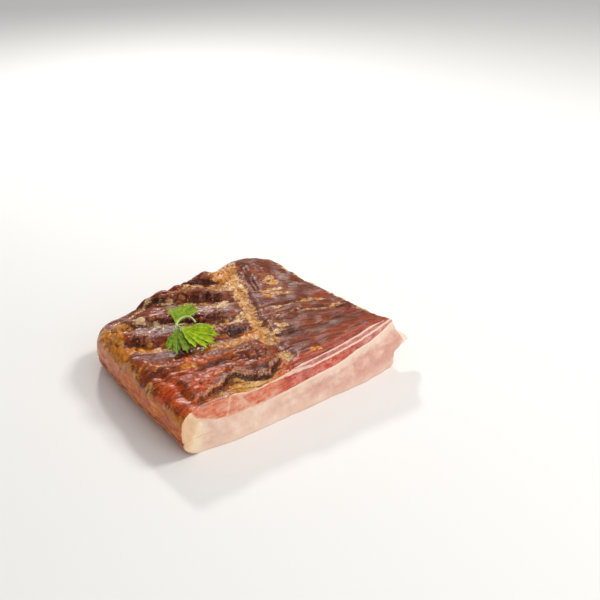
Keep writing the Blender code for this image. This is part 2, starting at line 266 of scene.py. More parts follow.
# Where the lean of the cut is a strong orange: x and strength.
ORANGE_ALONG = ((0, 0.2), (14, 0.3), (20, 0.9), (34, 0.8), (40, 0.0), (56, 0.1), (62, 1.0), (74, 1.0),
                (80, 0.5), (100, 0.3))
# How strongly the colours of the finishes are drawn out.
MEAT_SATURATION = 1.38
MEAT_VALUE = 0.82
FAT_SATURATION = 1.14
FAT_VALUE = 0.86
CUT_SATURATION = 1.05
CUT_VALUE = 1.05
# The layers slant: for each millimetre of depth they lie this far to the right and down.
LAYER_SLANT_ALONG = 0.78
LAYER_SLANT_DOWN = 0.68
# Where the smoked surface changes along the cut and into the slab. Each pair runs from where the share is 0 to
# where it is 1: duller meat, the redder front left corner, mauve meat beside the cut and the orange flank.
DULL_ALONG = (80.0, 130.0)
FRONT_LEFT_ALONG = (62.0, 32.0)
FRONT_LEFT_DEEP = (64.0, 40.0)
MAUVE_ALONG = (100.0, 112.0)
MAUVE_DEEP = (15.0, 9.0)
FLANK_ALONG = (80.0, 30.0)
LEDGE_LENGTH = 110.0
# Where the cut face's lean turns thin and sharp, along the cut.
RIGHT_OF_CUT = (70.0, 100.0)

# The sprig: each leaflet's foot, direction in degrees, reach, half spread in degrees, lobes and painted
# lightness, from shaded to lit.
LEAFLETS = (
    ((52.0, 99.5), 44.0, 38.0, 34.0, 4, 0.5),
    ((51.0, 98.0), 247.0, 39.0, 28.0, 4, 0.15),
    ((52.5, 98.0), -65.0, 40.0, 37.0, 5, 1.0),
)
# Each stalk's route, how far its end is lifted, its radius and how much of that it loses towards its end.
STALKS = (
    (((56.0, 103.7), (51.6, 98.7), (48.7, 93.2)), 0.0, 0.75, 0.45),
    (((51.3, 99.4), (53.3, 96.0), (55.1, 92.2)), 0.0, 0.7, 0.45),
    (((51.9, 98.2), (55.2, 98.3), (59.4, 97.1)), 0.0, 0.7, 0.45),
    (((52.0, 98.9), (57.6, 102.6), (63.2, 102.9), (66.6, 97.9), (66.2, 90.0)), 4.4, 1.0, 0.1),
)
STALK_CLEARANCE = 0.4
LEAF_FOOT = 3.0
LEAF_REST = 48.2
LEAF_LOWEST_AT = 60.0
LEAF_SLOPE = 0.22
LEAF_CREST_AT = 94.0
LEAF_DROOP = 0.006
LEAF_CLEARANCE = 0.4
FINE_LEAF_THICKNESS = 0.28
# A leaflet's cells: across each lobe, and from its foot to its rim.
LEAF_CELLS = (22, 18)

# The bits of fat along the step: how many a square metre, and their size.
BIT_DENSITY = 1.1e5
BIT_SIZE = 1.2

# The camera: its place from the cut face's corner in metres, its heading in plan, and how far it looks down.
CAMERA_PLACE = (-0.2796, -0.4986, 0.4407)
CAMERA_HEADING = (0.6162, 0.7876)
CAMERA_DOWN = 28.0
# A focal length of 900 pixels on a frame of 600.
SENSOR = 36.0
LENS = SENSOR * 900.0 / 600.0
FLOOR_SIZE = 12.0
# Each light's name, place in metres, width, power and colour.
LIGHTS = (
    ("key", (1.0, -0.35, 1.3), 0.4, 11.0, (1.0, 0.98, 0.95)),
    ("front", (0.1, -1.4, 0.6), 0.9, 6.5, (1.0, 0.99, 0.97)),
    ("glint", (0.5, 1.1, 0.9), 0.14, 8.0, (1.0, 0.98, 0.95)),
)


def smooth(low, high, value):
    """Rises from 0 at low to 1 at high, without corners."""
    share = np.clip((value - low) / (high - low), 0.0, 1.0)
    return share * share * (3.0 - 2.0 * share)


def between(value, rise, fall):
    """Rises from 0 to 1 over one pair of amounts, and falls back to 0 over a later pair."""
    return smooth(*rise, value) * (1.0 - smooth(*fall, value))


def wander(x, y, cell, seed):
    """Smooth noise between -1 and 1 whose bumps are about one cell across."""
    table = np.random.default_rng(seed).uniform(-1.0, 1.0, (64, 64))
    column, row = x / cell + 640.0, y / cell + 640.0
    i, j = np.floor(column).astype(int), np.floor(row).astype(int)
    s, t = smooth(0.0, 1.0, column - i), smooth(0.0, 1.0, row - j)
    near = table[i % 64, j % 64] * (1.0 - s) + table[(i + 1) % 64, j % 64] * s
    far = table[i % 64, (j + 1) % 64] * (1.0 - s) + table[(i + 1) % 64, (j + 1) % 64] * s
    return near * (1.0 - t) + far * t


def along(line, value):
    """Reads a line of (place, amount) pairs at a place."""
    places, amounts = zip(*line)
    return np.interp(value, places, amounts)


def distance_to(line, x, y):
    """Distance in plan from each point to a bent line."""
    nearest = np.full(np.shape(x), np.inf)
    for (x0, y0), (x1, y1) in zip(line, line[1:]):
        run, rise = x1 - x0, y1 - y0
        share = np.clip(((x - x0) * run + (y - y0) * rise) / (run * run + rise * rise), 0.0, 1.0)
        nearest = np.minimum(nearest, np.hypot(x - x0 - share * run, y - y0 - share * rise))
    return nearest


def oval_distance(a, b, middle, size):
    """Distance from the middle of an oval, as a share of its half sizes: 1 on its rim."""
    return np.hypot((a - middle[0]) / size[0], (b - middle[1]) / size[1])


def inside_spot(x, y, spot):
    """1 in the middle of an oval spot, 0 on its rim and less outside."""
    middle_x, middle_y, half_length, half_width, turn = spot
    cosine, sine = math.cos(math.radians(turn)), math.sin(math.radians(turn))
    run, rise = x - middle_x, y - middle_y
    return 1.0 - np.hypot((run * cosine + rise * sine) / half_length, (rise * cosine - run * sine) / half_width)


def round_corner(a, b, radius):
    """Turns the square corner at a = b = 0 into an arc."""
    across, up = np.maximum(radius - a, 0.0), np.maximum(radius - b, 0.0)
    inside = (across > 0.0) & (up > 0.0)
    reach = np.where(inside, np.hypot(across, up), 1.0)
    pull = np.where(inside, np.maximum(across, up) / reach, 1.0)
    return radius - (radius - a) * pull, radius - (radius - b) * pull


def rounded_block(x, y, z):
    """Rounds the block's long edges, then its corners in plan."""
    near_left = 1.0 - smooth(-25.0, 25.0, x + y - DEPTH)
    skin = SKIN_RADIUS + (LEFT_SKIN_RADIUS - SKIN_RADIUS) * near_left
    top = TOP_RADIUS + (LEFT_TOP_RADIUS - TOP_RADIUS) * near_left
    x, z = round_corner(x, z, skin)
    x, drop = round_corner(x, HEIGHT - z, top)
    inset, z = round_corner(LENGTH - x, HEIGHT - drop, SKIN_RADIUS)
    inset, drop = round_corner(inset, HEIGHT - z, TOP_RADIUS)
    x = LENGTH - inset
    inset, z = round_corner(DEPTH - y, HEIGHT - drop, skin)
    inset, drop = round_corner(inset, HEIGHT - z, top)
    y, z = DEPTH - inset, HEIGHT - drop
    x, inset = round_corner(x, DEPTH - y, BACK_LEFT_PLAN_RADIUS)
    far, inset = round_corner(LENGTH - x, inset, BACK_RIGHT_PLAN_RADIUS)
    far, y = round_corner(far, DEPTH - inset, FRONT_PLAN_RADIUS)
    x, y = round_corner(LENGTH - far, y, FRONT_PLAN_RADIUS)
    return x, y, z


def thickness(x, y):
    """Height of the slab's upper side without the meat that stands on it."""
    inside = INSIDE_LEFT + (INSIDE_RIGHT - INSIDE_LEFT) * smooth(0.0, 200.0, x)
    level = along(CUT_TOP, x) + (inside - along(CUT_TOP, x)) * smooth(0.0, INSIDE_FROM, y)
    corner = 1.0 - smooth(0.2, 1.0, oval_distance(x, y, BACK_LEFT_DROP_AT, BACK_LEFT_DROP_SIZE))
    lump = 1.0 - smooth(0.1, 1.0, oval_distance(x, y, BACK_RIGHT_LIFT_AT, BACK_RIGHT_LIFT_SIZE))
    return level - BACK_LEFT_DROP * corner + BACK_RIGHT_LIFT * lump


def bank_height(x, y):
    """Height of the banks of meat between the ribs, and how far each place is up one, from 0 to 1."""
    height, share_up = np.zeros(np.shape(x)), np.zeros(np.shape(x))
    wide, tall = 1.0 + 0.16 * wander(x, y, 8.5, 86), 1.0 + 0.22 * wander(x, y, 11.0, 87)
    for line, half_width, rise in BANKS:
        share = np.clip(distance_to(line, x, y) / half_width / wide, 0.0, 1.0)
        from_end = np.hypot(x - line[-1][0], y - line[-1][1])
        level = rise * tall * (0.5 + 0.5 * smooth(0.0, BANK_TAPER, from_end))
        height = np.maximum(height, level * (1.0 - share * share) ** 1.2)
        share_up = np.maximum(share_up, 1.0 - share * share)
    return height, share_up


def behind_step(x, y):
    """How far each place lies behind the ragged edge of the front sheet of muscle."""
    return y - along(STEP_LINE, x) - 1.8 * wander(x, y, 6.0, 3) - 0.5 * wander(x, y, 3.0, 82)


def relief(x, y):
    """Height of the meat above that smooth form: the front step, the banks, the seams and small lumps."""
    x_bent = x + 2.5 * wander(x, y, 17.0, 1)
    y_bent = y + 2.5 * wander(x, y, 15.0, 2)
    height, _ = bank_height(x_bent + 1.6 * wander(x, y, 6.5, 83), y_bent + 1.6 * wander(x, y, 5.5, 84))
    for line, half_width, depth in SEAMS:
        height = height - depth * (1.0 - smooth(0.0, half_width, distance_to(line, x_bent, y_bent)))
    step = smooth(-1.2, 1.6, behind_step(x, y)) * between(x, (10.0, 17.0), (98.0, 106.0))
    height = height + STEP_HEIGHT * step * (1.0 - smooth(35.0, 75.0, y))
    bands = np.sin((y + 0.12 * x) / 3.4) * smooth(115.0, 135.0, x) * smooth(14.0, 24.0, y)
    lumps = 0.9 * wander(x, y, 9.0, 4) * smooth(4.0, 12.0, y)
    return height + 0.25 * bands + lumps


def grain(x, y):
    """Distance along and across the muscle fibres."""
    run, rise = FIBRE_POLE[0] - x, y - FIBRE_POLE[1]
    return np.hypot(run, rise), FIBRE_SPREAD * np.arctan2(rise, run)


def fat_on_top(x, y):
    """Above 0 where fat covers the upper side, with how golden it is from 0 to 1."""
    x_bent = x + 2.2 * wander(x, y, 8.0, 21) + 1.0 * wander(x, y, 3.0, 22)
    y_bent = y + 2.2 * wander(x, y, 8.0, 23) + 1.0 * wander(x, y, 3.0, 24)
    found = [(1.0 - distance_to(line, x_bent, y_bent) / half, half, gold) for line, half, gold in FAT_LINES]
    found += [(inside_spot(x_bent, y_bent, spot), spot[3], gold) for *spot, gold in FAT_SPOTS]
    found.append(((along(SHOULDER_LINE, y) - x_bent) / 4.0, 4.0, 0.85))
    found.append(((x_bent - along(RIGHT_LINE, y) + RIGHT_RIM) / 3.0, 3.0, 0.15))
    level, weight, gold = np.full(np.shape(x), -9.0), 1e-9, 0.0
    for inside, half, golden in found:
        depth = inside * half
        level = np.maximum(level, depth)
        share = np.exp(np.clip(depth, -6.0, 3.0) * 1.5)
        weight, gold = weight + share, gold + share * golden
    return np.clip(level, -3.0, 3.0), gold / weight


def tint(x, y, spots):
    """Strength of a tint from its list of soft spots."""
    x_bent = x + 2.5 * wander(x, y, 7.0, 31)
    y_bent = y + 2.5 * wander(x, y, 7.0, 32)
    strength = np.zeros(np.shape(x))
    for *spot, most in spots:
        strength = np.maximum(strength, most * smooth(-0.25, 0.6, inside_spot(x_bent, y_bent, spot)))
    return strength


def lumps_with_creases(run, across, cell, seed):
    """Rounded lumps parted by narrow creases, from about -0.5 to 1."""
    return 2.4 * np.abs(wander(run, across, cell, seed)) - 0.5


def pebbles(run, across, cell, seed):
    """Rounded pebbles of uneven size: 0 at their borders to 1 inside, and a number from 0 to 1 for each."""
    corners = np.random.default_rng(seed).uniform(0.0, 1.0, (64, 64, 3))
    run, across = run / cell + 640.0, across / cell + 640.0
    column, row = np.floor(run).astype(int), np.floor(across).astype(int)
    nearest, second, number = np.full(np.shape(run), 9.0), np.full(np.shape(run), 9.0), np.zeros(np.shape(run))
    for i in (-1, 0, 1):
        for j in (-1, 0, 1):
            pick = corners[(column + i) % 64, (row + j) % 64]
            away = np.hypot(run - column - i - pick[..., 0], across - row - j - pick[..., 1])
            closer = away < nearest
            second = np.where(closer, nearest, np.minimum(second, away))
            number = np.where(closer, pick[..., 2], number)
            nearest = np.where(closer, away, nearest)
    return smooth(0.0, 0.45, second - nearest), number


def pebbled(x, y):
    """The pebbles' relief, how strong they are at each place, and the number of each."""
    run, across = grain(x + 1.2 * wander(x, y, 3.5, 48), y + 1.0 * wander(x, y, 3.5, 49))
    large, number = pebbles(run / 1.8, across, LARGE_PEBBLE, 41)
    small, small_number = pebbles(run / 1.5, across, SMALL_PEBBLE, 42)
    strength = tint(x, y, PEBBLE_SPOTS)
    form = large * (0.5 + 0.7 * number) + 0.45 * small * (0.4 + 0.6 * small_number) - 0.8
    return form, strength, 0.65 * number + 0.35 * small_number


def fine_relief(x, y):
    """Pebbles on the banks, fibre grooves in the lean, soft bumps on the fat, an undercut before the step."""
    run, across = grain(x, y)
    banks, up = bank_height(x, y)
    fat, _ = fat_on_top(x, y)
    lean = 1.0 - smooth(-0.8, 0.8, fat)
    ridge = 0.22 * banks * smooth(0.0, 14.0, y) * (1.0 + 0.9 * wander(x, y, 7.0, 85))
    form, strength, _ = pebbled(x, y)
    craggy = strength * (0.5 + 0.5 * smooth(0.0, 0.4, up)) * (1.0 - 0.45 * smooth(112.0, 132.0, x))
    behind = behind_step(x, y)
    at_lip = between(behind, (-1.5, 0.0), (1.2, 3.5)) * step_reach(x)
    craggy = craggy * (1.0 - 0.75 * at_lip)
    fibres = 0.3 * lumps_with_creases(run / 7.0, across, 2.4, 43) + 0.2 * wander(run / 5.0, across, 1.3, 44)
    soft = 0.5 * lumps_with_creases(x, y, 4.6, 45) + 0.25 * wander(x, y, 2.2, 46) - 0.3
    deep = distance_to(STEP_LINE, x, y + 1.4)
    under = step_reach(x) * (1.0 - smooth(0.4, 1.9, deep))
    rough = lean * (1.5 * craggy * form + (1.0 - 0.6 * strength) * fibres)
    return ridge + rough + (1.0 - lean) * soft - UNDERCUT * under


def step_reach(x):
    """1 along the ragged front step, 0 beyond its ends."""
    return between(x, (12.0, 18.0), (96.0, 104.0))


def forward_shift(x, y):
    """How far the banks and the ragged step lean over towards the cut."""
    banks, _ = bank_height(x, y)
    behind = behind_step(x, y)
    lip = between(behind, (-0.6, 0.9), (1.5, 6.0)) * step_reach(x)
    ragged = 1.0 + 0.6 * wander(x, y, 5.0, 47)
    return ragged * (BANK_OVERHANG * banks * smooth(4.0, 16.0, y) + LIP_OVERHANG * lip)


def full_relief(x, y):
    """The upper side's whole relief, coarse and fine."""
    return relief(x, y) + fine_relief(x, y) * smooth(0.0, 1.5, y + 0.5)


def side_relief(run, z):
    """How far the trimmed sides stand out: the crease above the skin, and soft lumps."""
    crease = SKIN_CREASE_DEPTH * (1.0 - smooth(0.0, 3.0, np.abs(z - SKIN_CREASE_AT)))
    return 1.1 * wander(run, z, 16.0, 5) - crease


def side_grain(run, z):
    """Small folds and pits on the trimmed sides, cut inwards."""
    folds = 0.35 * wander(run / 5.0, z, 2.2, 51) + 0.2 * wander(run, z, 2.6, 52)
    sharp_crease = 0.8 * (1.0 - smooth(0.0, 1.2, np.abs(z - SKIN_CREASE_AT - 0.8 * wander(run, z, 12.0, 53))))
    return folds - 0.5 - sharp_crease


def slab_surface(u, v, w):
    """Places the unit block's points on the slab, with every detail. Also gives each point's place in plan."""
    x, y, z = rounded_block(u * LENGTH, v * DEPTH, w * HEIGHT)
    at_left, at_right = 1.0 - smooth(0.0, 14.0, x), smooth(LENGTH - 12.0, LENGTH, x)
    at_back, at_front = smooth(DEPTH - 12.0, DEPTH, y), 1.0 - smooth(0.0, 30.0, y)
    left, right = along(LEFT_LINE, y), along(RIGHT_LINE, y)
    x = left + x / LENGTH * (right - left)
    y = y / DEPTH * along(BACK_LINE, x)
    plan = np.stack([x, y], axis=-1)
    share = z / HEIGHT
    up = smooth(0.6, 1.0, share)
    z = share * thickness(x, y) + up * full_relief(x, y)
    forward = forward_shift(x, y)
    sides = smooth(0.0, 5.0, z)
    off_flap = oval_distance(y, z, FLAP_AT, FLAP_SIZE)
    frill = 0.88 + 0.16 * wander(y, z, 3.0, 61) + 0.1 * wander(y + z, z - y, 1.7, 64)
    flap = FLAP_REACH * np.exp(-(off_flap**2)) * frill
    x = x - at_left * sides * (side_relief(y, z) + (1.0 - up) * side_grain(y, z))
    x = x + at_right * sides * (side_relief(y + 300.0, z) + flap + (1.0 - up) * side_grain(y + 300.0, z))
    z = z - at_right * sides * FLAP_DROOP * flap / FLAP_REACH
    y = y + at_back * sides * (side_relief(x + 600.0, z) + (1.0 - up) * side_grain(x + 600.0, z))
    lean_back = CUT_LEAN * smooth(100.0, 185.0, x) * smooth(0.5, 1.0, share)
    cut_marks = 0.35 * wander(x + 0.3 * z, z / 3.0, 9.0, 62)
    cut_marks = cut_marks + 0.06 * wander(0.8 * x + 0.6 * z, 0.8 * z - 0.6 * x, 2.3, 63)
    foot = CUT_FOOT * between(x, (8.0, 50.0), (180.0, 222.0)) * (1.0 - smooth(0.0, 0.7, share))
    y = y + at_front * (lean_back - foot + 0.5 * wander(x, z, 12.0, 6))
    y = y + (1.0 - smooth(0.0, 1.0, v * DEPTH)) * (0.3 + cut_marks)
    y = y - up * forward * smooth(2.0, 6.0, y)
    return np.stack([x, y, z], axis=-1), plan


def surface_height(x, y):
    """Height of the slab's upper side over a place well inside its edges."""
    return thickness(x, y) + relief(x, y)


def leaf_height(x, y):
    """Height of the sprig's underside: it rises, droops again at the back and rides over the banks."""
    droop = LEAF_DROOP * np.maximum(y - LEAF_CREST_AT, 0.0) ** 2
    rise = LEAF_REST + LEAF_SLOPE * (y - LEAF_LOWEST_AT) - droop
    floor = surface_height(x, y) + LEAF_CLEARANCE
    gap = rise - floor
    return floor + 0.5 * (gap + np.sqrt(gap * gap + 4.0))


def place_points(mesh, points):
    """Fills a mesh with points given in millimetres from the cut face's corner."""
    placed = (points + np.array([CORNER[0], CORNER[1], 0.0])) * MM
    mesh.vertices.foreach_set("co", placed.astype(np.float32).ravel())
    mesh.update()


def coordinates(mesh):
    """A mesh's points as an array."""
    found = np.empty(len(mesh.vertices) * 3, np.float32)
    mesh.vertices.foreach_get("co", found)
    return found.reshape(-1, 3).astype(float)


def facings(mesh):
    """The direction that a mesh faces at each of its points, as an array."""
    found = np.empty(len(mesh.vertices) * 3, np.float32)
    mesh.vertex_normals.foreach_get("vector", found)
    return found.reshape(-1, 3)


def store(mesh, name, values):
    """Writes one number for each point of a mesh, for a material to read."""
    layer = mesh.attributes.new(name, "FLOAT", "POINT")
    layer.data.foreach_set("value", np.asarray(values, np.float32))


class Value:
    """An output of a shader node. Sums and products of values add Math nodes."""

    def __init__(self, finish, socket):
        self.finish, self.socket = finish, socket

    def math(self, operation, first, second):
        return self.finish.node("ShaderNodeMath", {"operation": operation}, {0: first, 1: second})

    def __add__(self, other):
        return self.math("ADD", self, other)

    def __sub__(self, other):
        return self.math("SUBTRACT", self, other)

    def __rsub__(self, other):
        return self.math("SUBTRACT", other, self)

    def __mul__(self, other):
        return self.math("MULTIPLY", self, other)

    def __truediv__(self, other):
        return self.math("DIVIDE", self, other)

    def __pow__(self, other):
        return self.math("POWER", self, other)

    def spread(self, width):
        """Noise moved to lie about 0, and made as wide as given."""
        return (self - 0.5) * width

    def stretched(self, x, y, z):
        return self.finish.node("ShaderNodeVectorMath", {"operation": "MULTIPLY"}, {0: self, 1: (x, y, z)})

    __radd__, __rmul__ = __add__, __mul__


class Finish:
    """One material while it is made: node() adds any node, and the other methods the usual ones."""

    def __init__(self, name, roughness=0.5, **constants):
        self.material = bpy.data.materials.new(name)
        self.material.use_nodes = True
        self.tree = self.material.node_tree
        self.shader = self.tree.nodes["Principled BSDF"]
        self.shader.inputs["Roughness"].default_value = roughness
        for socket, value in constants.items():
            self.shader.inputs[socket.replace("_", " ")].default_value = value

    def node(self, kind, settings=None, sockets=None, output=0):
        made = self.tree.nodes.new(kind)
        for name, value in (settings or {}).items():
            if name == "stops":
                self.set_stops(made.color_ramp, value)
            else:
                setattr(made, name, value)
        for name, value in (sockets or {}).items():
            self.feed(made.inputs[name], value)
        return Value(self, made.outputs[output])

    @staticmethod
    def set_stops(ramp, stops):
        while len(ramp.elements) < len(stops):
            ramp.elements.new(0.5)
        for element, (place, colour) in zip(ramp.elements, stops):
            element.position = place
            element.color = (*colour, 1.0)

    def feed(self, socket, value):
        if isinstance(value, Value):
            self.tree.links.new(value.socket, socket)
        elif isinstance(value, tuple) and socket.type == "RGBA":
            socket.default_value = (*value, 1.0)
        else:
            socket.default_value = value

    def set(self, name, value):
        self.feed(self.shader.inputs[name], value)

    def stored(self, name):
        return self.node("ShaderNodeAttribute", {"attribute_name": name}, output="Fac")

    def millimetres(self):
        place = self.node("ShaderNodeTexCoord", output="Object")
        return self.node("ShaderNodeVectorMath", {"operation": "SCALE"}, {0: place, "Scale": 1.0 / MM})

    def parts(self, vector):
        return [self.node("ShaderNodeSeparateXYZ", None, {0: vector}, axis) for axis in range(3)]

    def vector(self, x, y, z):
        return self.node("ShaderNodeCombineXYZ", None, {0: x, 1: y, 2: z})

    def noise(self, place, cell, detail=3.0, roughness=0.55):
        sockets = {"Vector": place, "Scale": 1.0 / cell, "Detail": detail, "Roughness": roughness}
        return self.node("ShaderNodeTexNoise", None, sockets)

    def rise(self, value, low, high):
        """0 at low and 1 at high, without corners. A low above the high makes it a fall."""
        sockets = {"Value": value, "From Min": low, "From Max": high}
        return self.node("ShaderNodeMapRange", {"interpolation_type": "SMOOTHSTEP"}, sockets)

    def ramp(self, value, stops):
        return self.node("ShaderNodeValToRGB", {"stops": stops}, {"Fac": value})

    def tones(self, value, *stops):
        """Screen colours that follow a value. Each stop is a value and its red, green and blue."""
        return self.ramp(value, [(place, colour(*shades)) for place, *shades in stops])

    def mix(self, share, first, second):
        return self.node("ShaderNodeMix", {"data_type": "RGBA"}, {0: share, 6: first, 7: second}, 2)

    def read(self, place, table, full=None):
        """Reads a table of (place, amount) pairs along the cut, in millimetres unless full is given."""
        full = full or CUT_RISE
        stops = [(at / CUT_SPAN, (amount / full,) * 3) for at, amount in table]
        return self.ramp(place / CUT_SPAN, stops) * full

    def mark(self, value, at, half_width):
        """1 where a value is at a given amount, fading to 0 at the half width."""
        return 1.0 - self.rise(self.distance_from(value, at), 0.0, half_width)

    def distance_from(self, value, at):
        return self.node("ShaderNodeMath", {"operation": "ABSOLUTE"}, {0: value - at})

    def tuned(self, surface, saturation, value):
        sockets = {"Saturation": saturation, "Value": value, "Color": surface}
        return self.node("ShaderNodeHueSaturation", None, sockets)

    def bump(self, height, distance, strength=1.0, normal=None):
        sockets = {"Height": height, "Distance": distance * MM, "Strength": strength}
        if normal:
            sockets["Normal"] = normal
        return self.node("ShaderNodeBump", None, sockets)


def colour(red, green, blue):
    """A colour given as it looks on screen, 0 to 255, as the shader needs it."""
    shares = (red / 255.0, green / 255.0, blue / 255.0)
    return tuple(c / 12.92 if c <= 0.04045 else ((c + 0.055) / 1.055) ** 2.4 for c in shares)


def fibre_place(finish, place):
    """Coordinates that run along and across the muscle fibres."""
    x, y, z = finish.parts(place)
    run = FIBRE_POLE[0] + CORNER[0] - x
    rise = y - (FIBRE_POLE[1] + CORNER[1])
    length = (run * run + rise * rise) ** 0.5
    angle = finish.node("ShaderNodeMath", {"operation": "ARCTAN2"}, {0: rise, 1: run})
    return finish.vector(length * 0.11, angle * FIBRE_SPREAD, z * 0.5)


def smoked_fields(finish):
    """The places, noises and shares that the colours of the smoked surface have in common."""
    place = finish.millimetres()
    x, y, z = finish.parts(place)
    on = SimpleNamespace(place=place, x=x, y=y, z=z, x_cut=x - CORNER[0], y_cut=y - CORNER[1])
    on.strands = fibre_place(finish, place)
    on.fibres = finish.noise(on.strands, 1.3, 7.0, 0.72)
    on.bands = finish.noise(on.strands, 4.5, 5.0, 0.65)
    on.clouds = finish.noise(place, 11.0, 3.0, 0.5)
    on.grains = finish.noise(place, 1.7, 5.0, 0.7)
    on.patches = finish.noise(place, 3.9, 6.0, 0.68)
    on.pebble = finish.stored("pebble")
    on.dull = finish.rise(on.x_cut + on.clouds.spread(60.0), *DULL_ALONG)
    on.front_left = finish.rise(on.x_cut, *FRONT_LEFT_ALONG) * finish.rise(on.y_cut, *FRONT_LEFT_DEEP)
    return on


def smoked_lean(finish, on):
    """Smoked lean: brown and red along its fibres, with painted grey sheen, char and painted shade in places,
    mauve beside the cut.
    """
    shade = on.fibres * 0.45 + on.bands * 0.25 + on.grains * 0.3
    shade = shade + (finish.stored("number") - 0.5) * on.pebble * 0.2
    brown = finish.tones(shade, (0.40, 80, 34, 24), (0.47, 118, 60, 46), (0.53, 146, 86, 68),
                         (0.60, 196, 142, 120))
    red = finish.tones(shade, (0.40, 102, 30, 12), (0.49, 162, 60, 30), (0.55, 194, 90, 50),
                       (0.62, 232, 158, 114))
    grey = finish.tones(shade, (0.40, 96, 62, 52), (0.48, 138, 102, 90), (0.56, 166, 134, 120),
                        (0.62, 206, 180, 164))
    char = finish.tones(shade, (0.42, 34, 14, 10), (0.5, 80, 40, 30), (0.57, 126, 76, 60),
                        (0.63, 204, 152, 128))
    mauve = finish.tones(shade, (0.42, 150, 70, 62), (0.5, 206, 116, 104), (0.58, 240, 180, 166))
    streaks = finish.rise(on.bands + on.clouds.spread(0.5), 0.5, 0.56) * (0.75 - on.dull * 0.35)
    meat = finish.mix(streaks, brown, red)
    redness = finish.stored("red") + on.bands.spread(2.0) + on.grains.spread(1.0)
    meat = finish.mix(finish.rise(redness, 0.3, 0.6), meat, red)
    # Painted sheen: greyish streaks of reflected light.
    painted_sheen_share = finish.stored("grey") + on.bands.spread(2.4) + on.fibres.spread(3.5)
    meat = finish.mix(finish.rise(painted_sheen_share, 0.35, 1.0) * 0.8, meat, grey)
    # Char, together with painted shade on the slopes that face the cut.
    char_and_shade_share = finish.stored("char") + on.patches.spread(2.4)
    meat = finish.mix(finish.rise(char_and_shade_share, 0.25, 0.8) * 0.9, meat, char)
    by_cut = finish.rise(on.y_cut + on.bands.spread(14.0), *MAUVE_DEEP) * finish.rise(on.x_cut, *MAUVE_ALONG)
    meat = finish.mix(by_cut * 0.85, meat, mauve)
    # Pale pink flecks on the pebbly lean: bits of fat and painted glints.
    flecks = finish.rise(finish.noise(on.strands, 1.5, 3.0, 0.6) * 0.6 + on.grains * 0.4, 0.56, 0.64)
    meat = finish.mix(flecks * (0.05 + on.pebble * 0.5), meat, colour(216, 160, 132))
    return finish.tuned(meat, MEAT_SATURATION, MEAT_VALUE - on.dull * 0.15 + on.front_left * 0.55)


def smoked_fat(finish, on):
    """Smoked fat, from pale through golden to amber."""
    tone = on.patches * 0.45 + on.grains * 0.35 + on.fibres * 0.2
    pale = finish.tones(tone, (0.41, 166, 122, 82), (0.48, 212, 174, 130), (0.54, 236, 204, 162),
                        (0.60, 250, 230, 198))
    golden = finish.tones(tone, (0.41, 134, 78, 42), (0.47, 198, 136, 84), (0.52, 226, 172, 118),
                          (0.60, 248, 216, 172))
    amber = finish.tones(tone, (0.41, 140, 62, 18), (0.48, 208, 118, 46), (0.54, 234, 152, 74),
                         (0.60, 250, 200, 134))
    gold = finish.stored("gold") + on.clouds.spread(0.8)
    fat = finish.mix(finish.rise(gold, 0.1, 0.45), pale, golden)
    fat = finish.mix(finish.rise(gold + on.patches.spread(0.6), 0.6, 0.95), fat, amber)
    return finish.tuned(fat, FAT_SATURATION, FAT_VALUE)


def smoked_ledge(finish, on):
    """The moist ledge before the front step: brown, golden and then pink fat along the cut, with streaks of
    painted shade.
    """
    ledge = finish.tones(on.x_cut / LEDGE_LENGTH + on.patches.spread(0.5),
                         (0.1, 126, 44, 20), (0.22, 214, 110, 50), (0.36, 150, 74, 34), (0.5, 222, 158, 92),
                         (0.62, 248, 202, 142), (0.78, 232, 156, 112), (0.92, 206, 92, 68))
    # Dark brown streaks along x: painted shade below the step's lip.
    shade_streaks = finish.noise(finish.vector(on.x * 0.3, on.y, on.z), 2.4, 4.0, 0.6)
    ledge = finish.mix(finish.rise(shade_streaks * 0.7 + on.grains * 0.3, 0.5, 0.4) * 0.9, ledge, colour(112, 52, 24))
    pale = finish.rise(on.grains * 0.5 + on.patches * 0.5, 0.52, 0.6)
    ledge = finish.mix(pale * 0.8, ledge, colour(246, 218, 178))
    return finish.tuned(ledge, FAT_SATURATION, FAT_VALUE)


def with_painted_light_and_fat_bits(finish, on, surface):
    """Paints shade in the hollows and highlights on the crests, adds bits of fat on the step's lip, and paints
    shade below it.
    """
    hollow = finish.stored("hollow") + on.grains.spread(0.9)
    painted_shade = finish.rise(hollow, 0.05, 0.85) * (0.75 - on.front_left * 0.4)
    # Painted shade: the hollows are darkened.
    surface = finish.mix(painted_shade, surface, colour(40, 16, 9))
    # Painted highlight: the crests are lightened.
    surface = finish.mix(finish.rise(hollow, -0.3, -1.1) * 0.35, surface, colour(206, 148, 120))
    crumbs = finish.noise(on.place, 2.0, 3.0, 0.6)
    bits = finish.rise(finish.stored("lip") * 0.7 + on.grains.spread(2.0) + crumbs.spread(4.0), 0.7, 1.0)
    surface = finish.mix(bits * 0.8, surface, colour(214, 170, 130))
    # Painted shade on the wall below the step's lip.
    shaded = finish.rise(finish.stored("wall") + crumbs.spread(2.0), 0.35, 0.9)
    return finish.mix(shaded * 0.85, surface, colour(58, 22, 9))


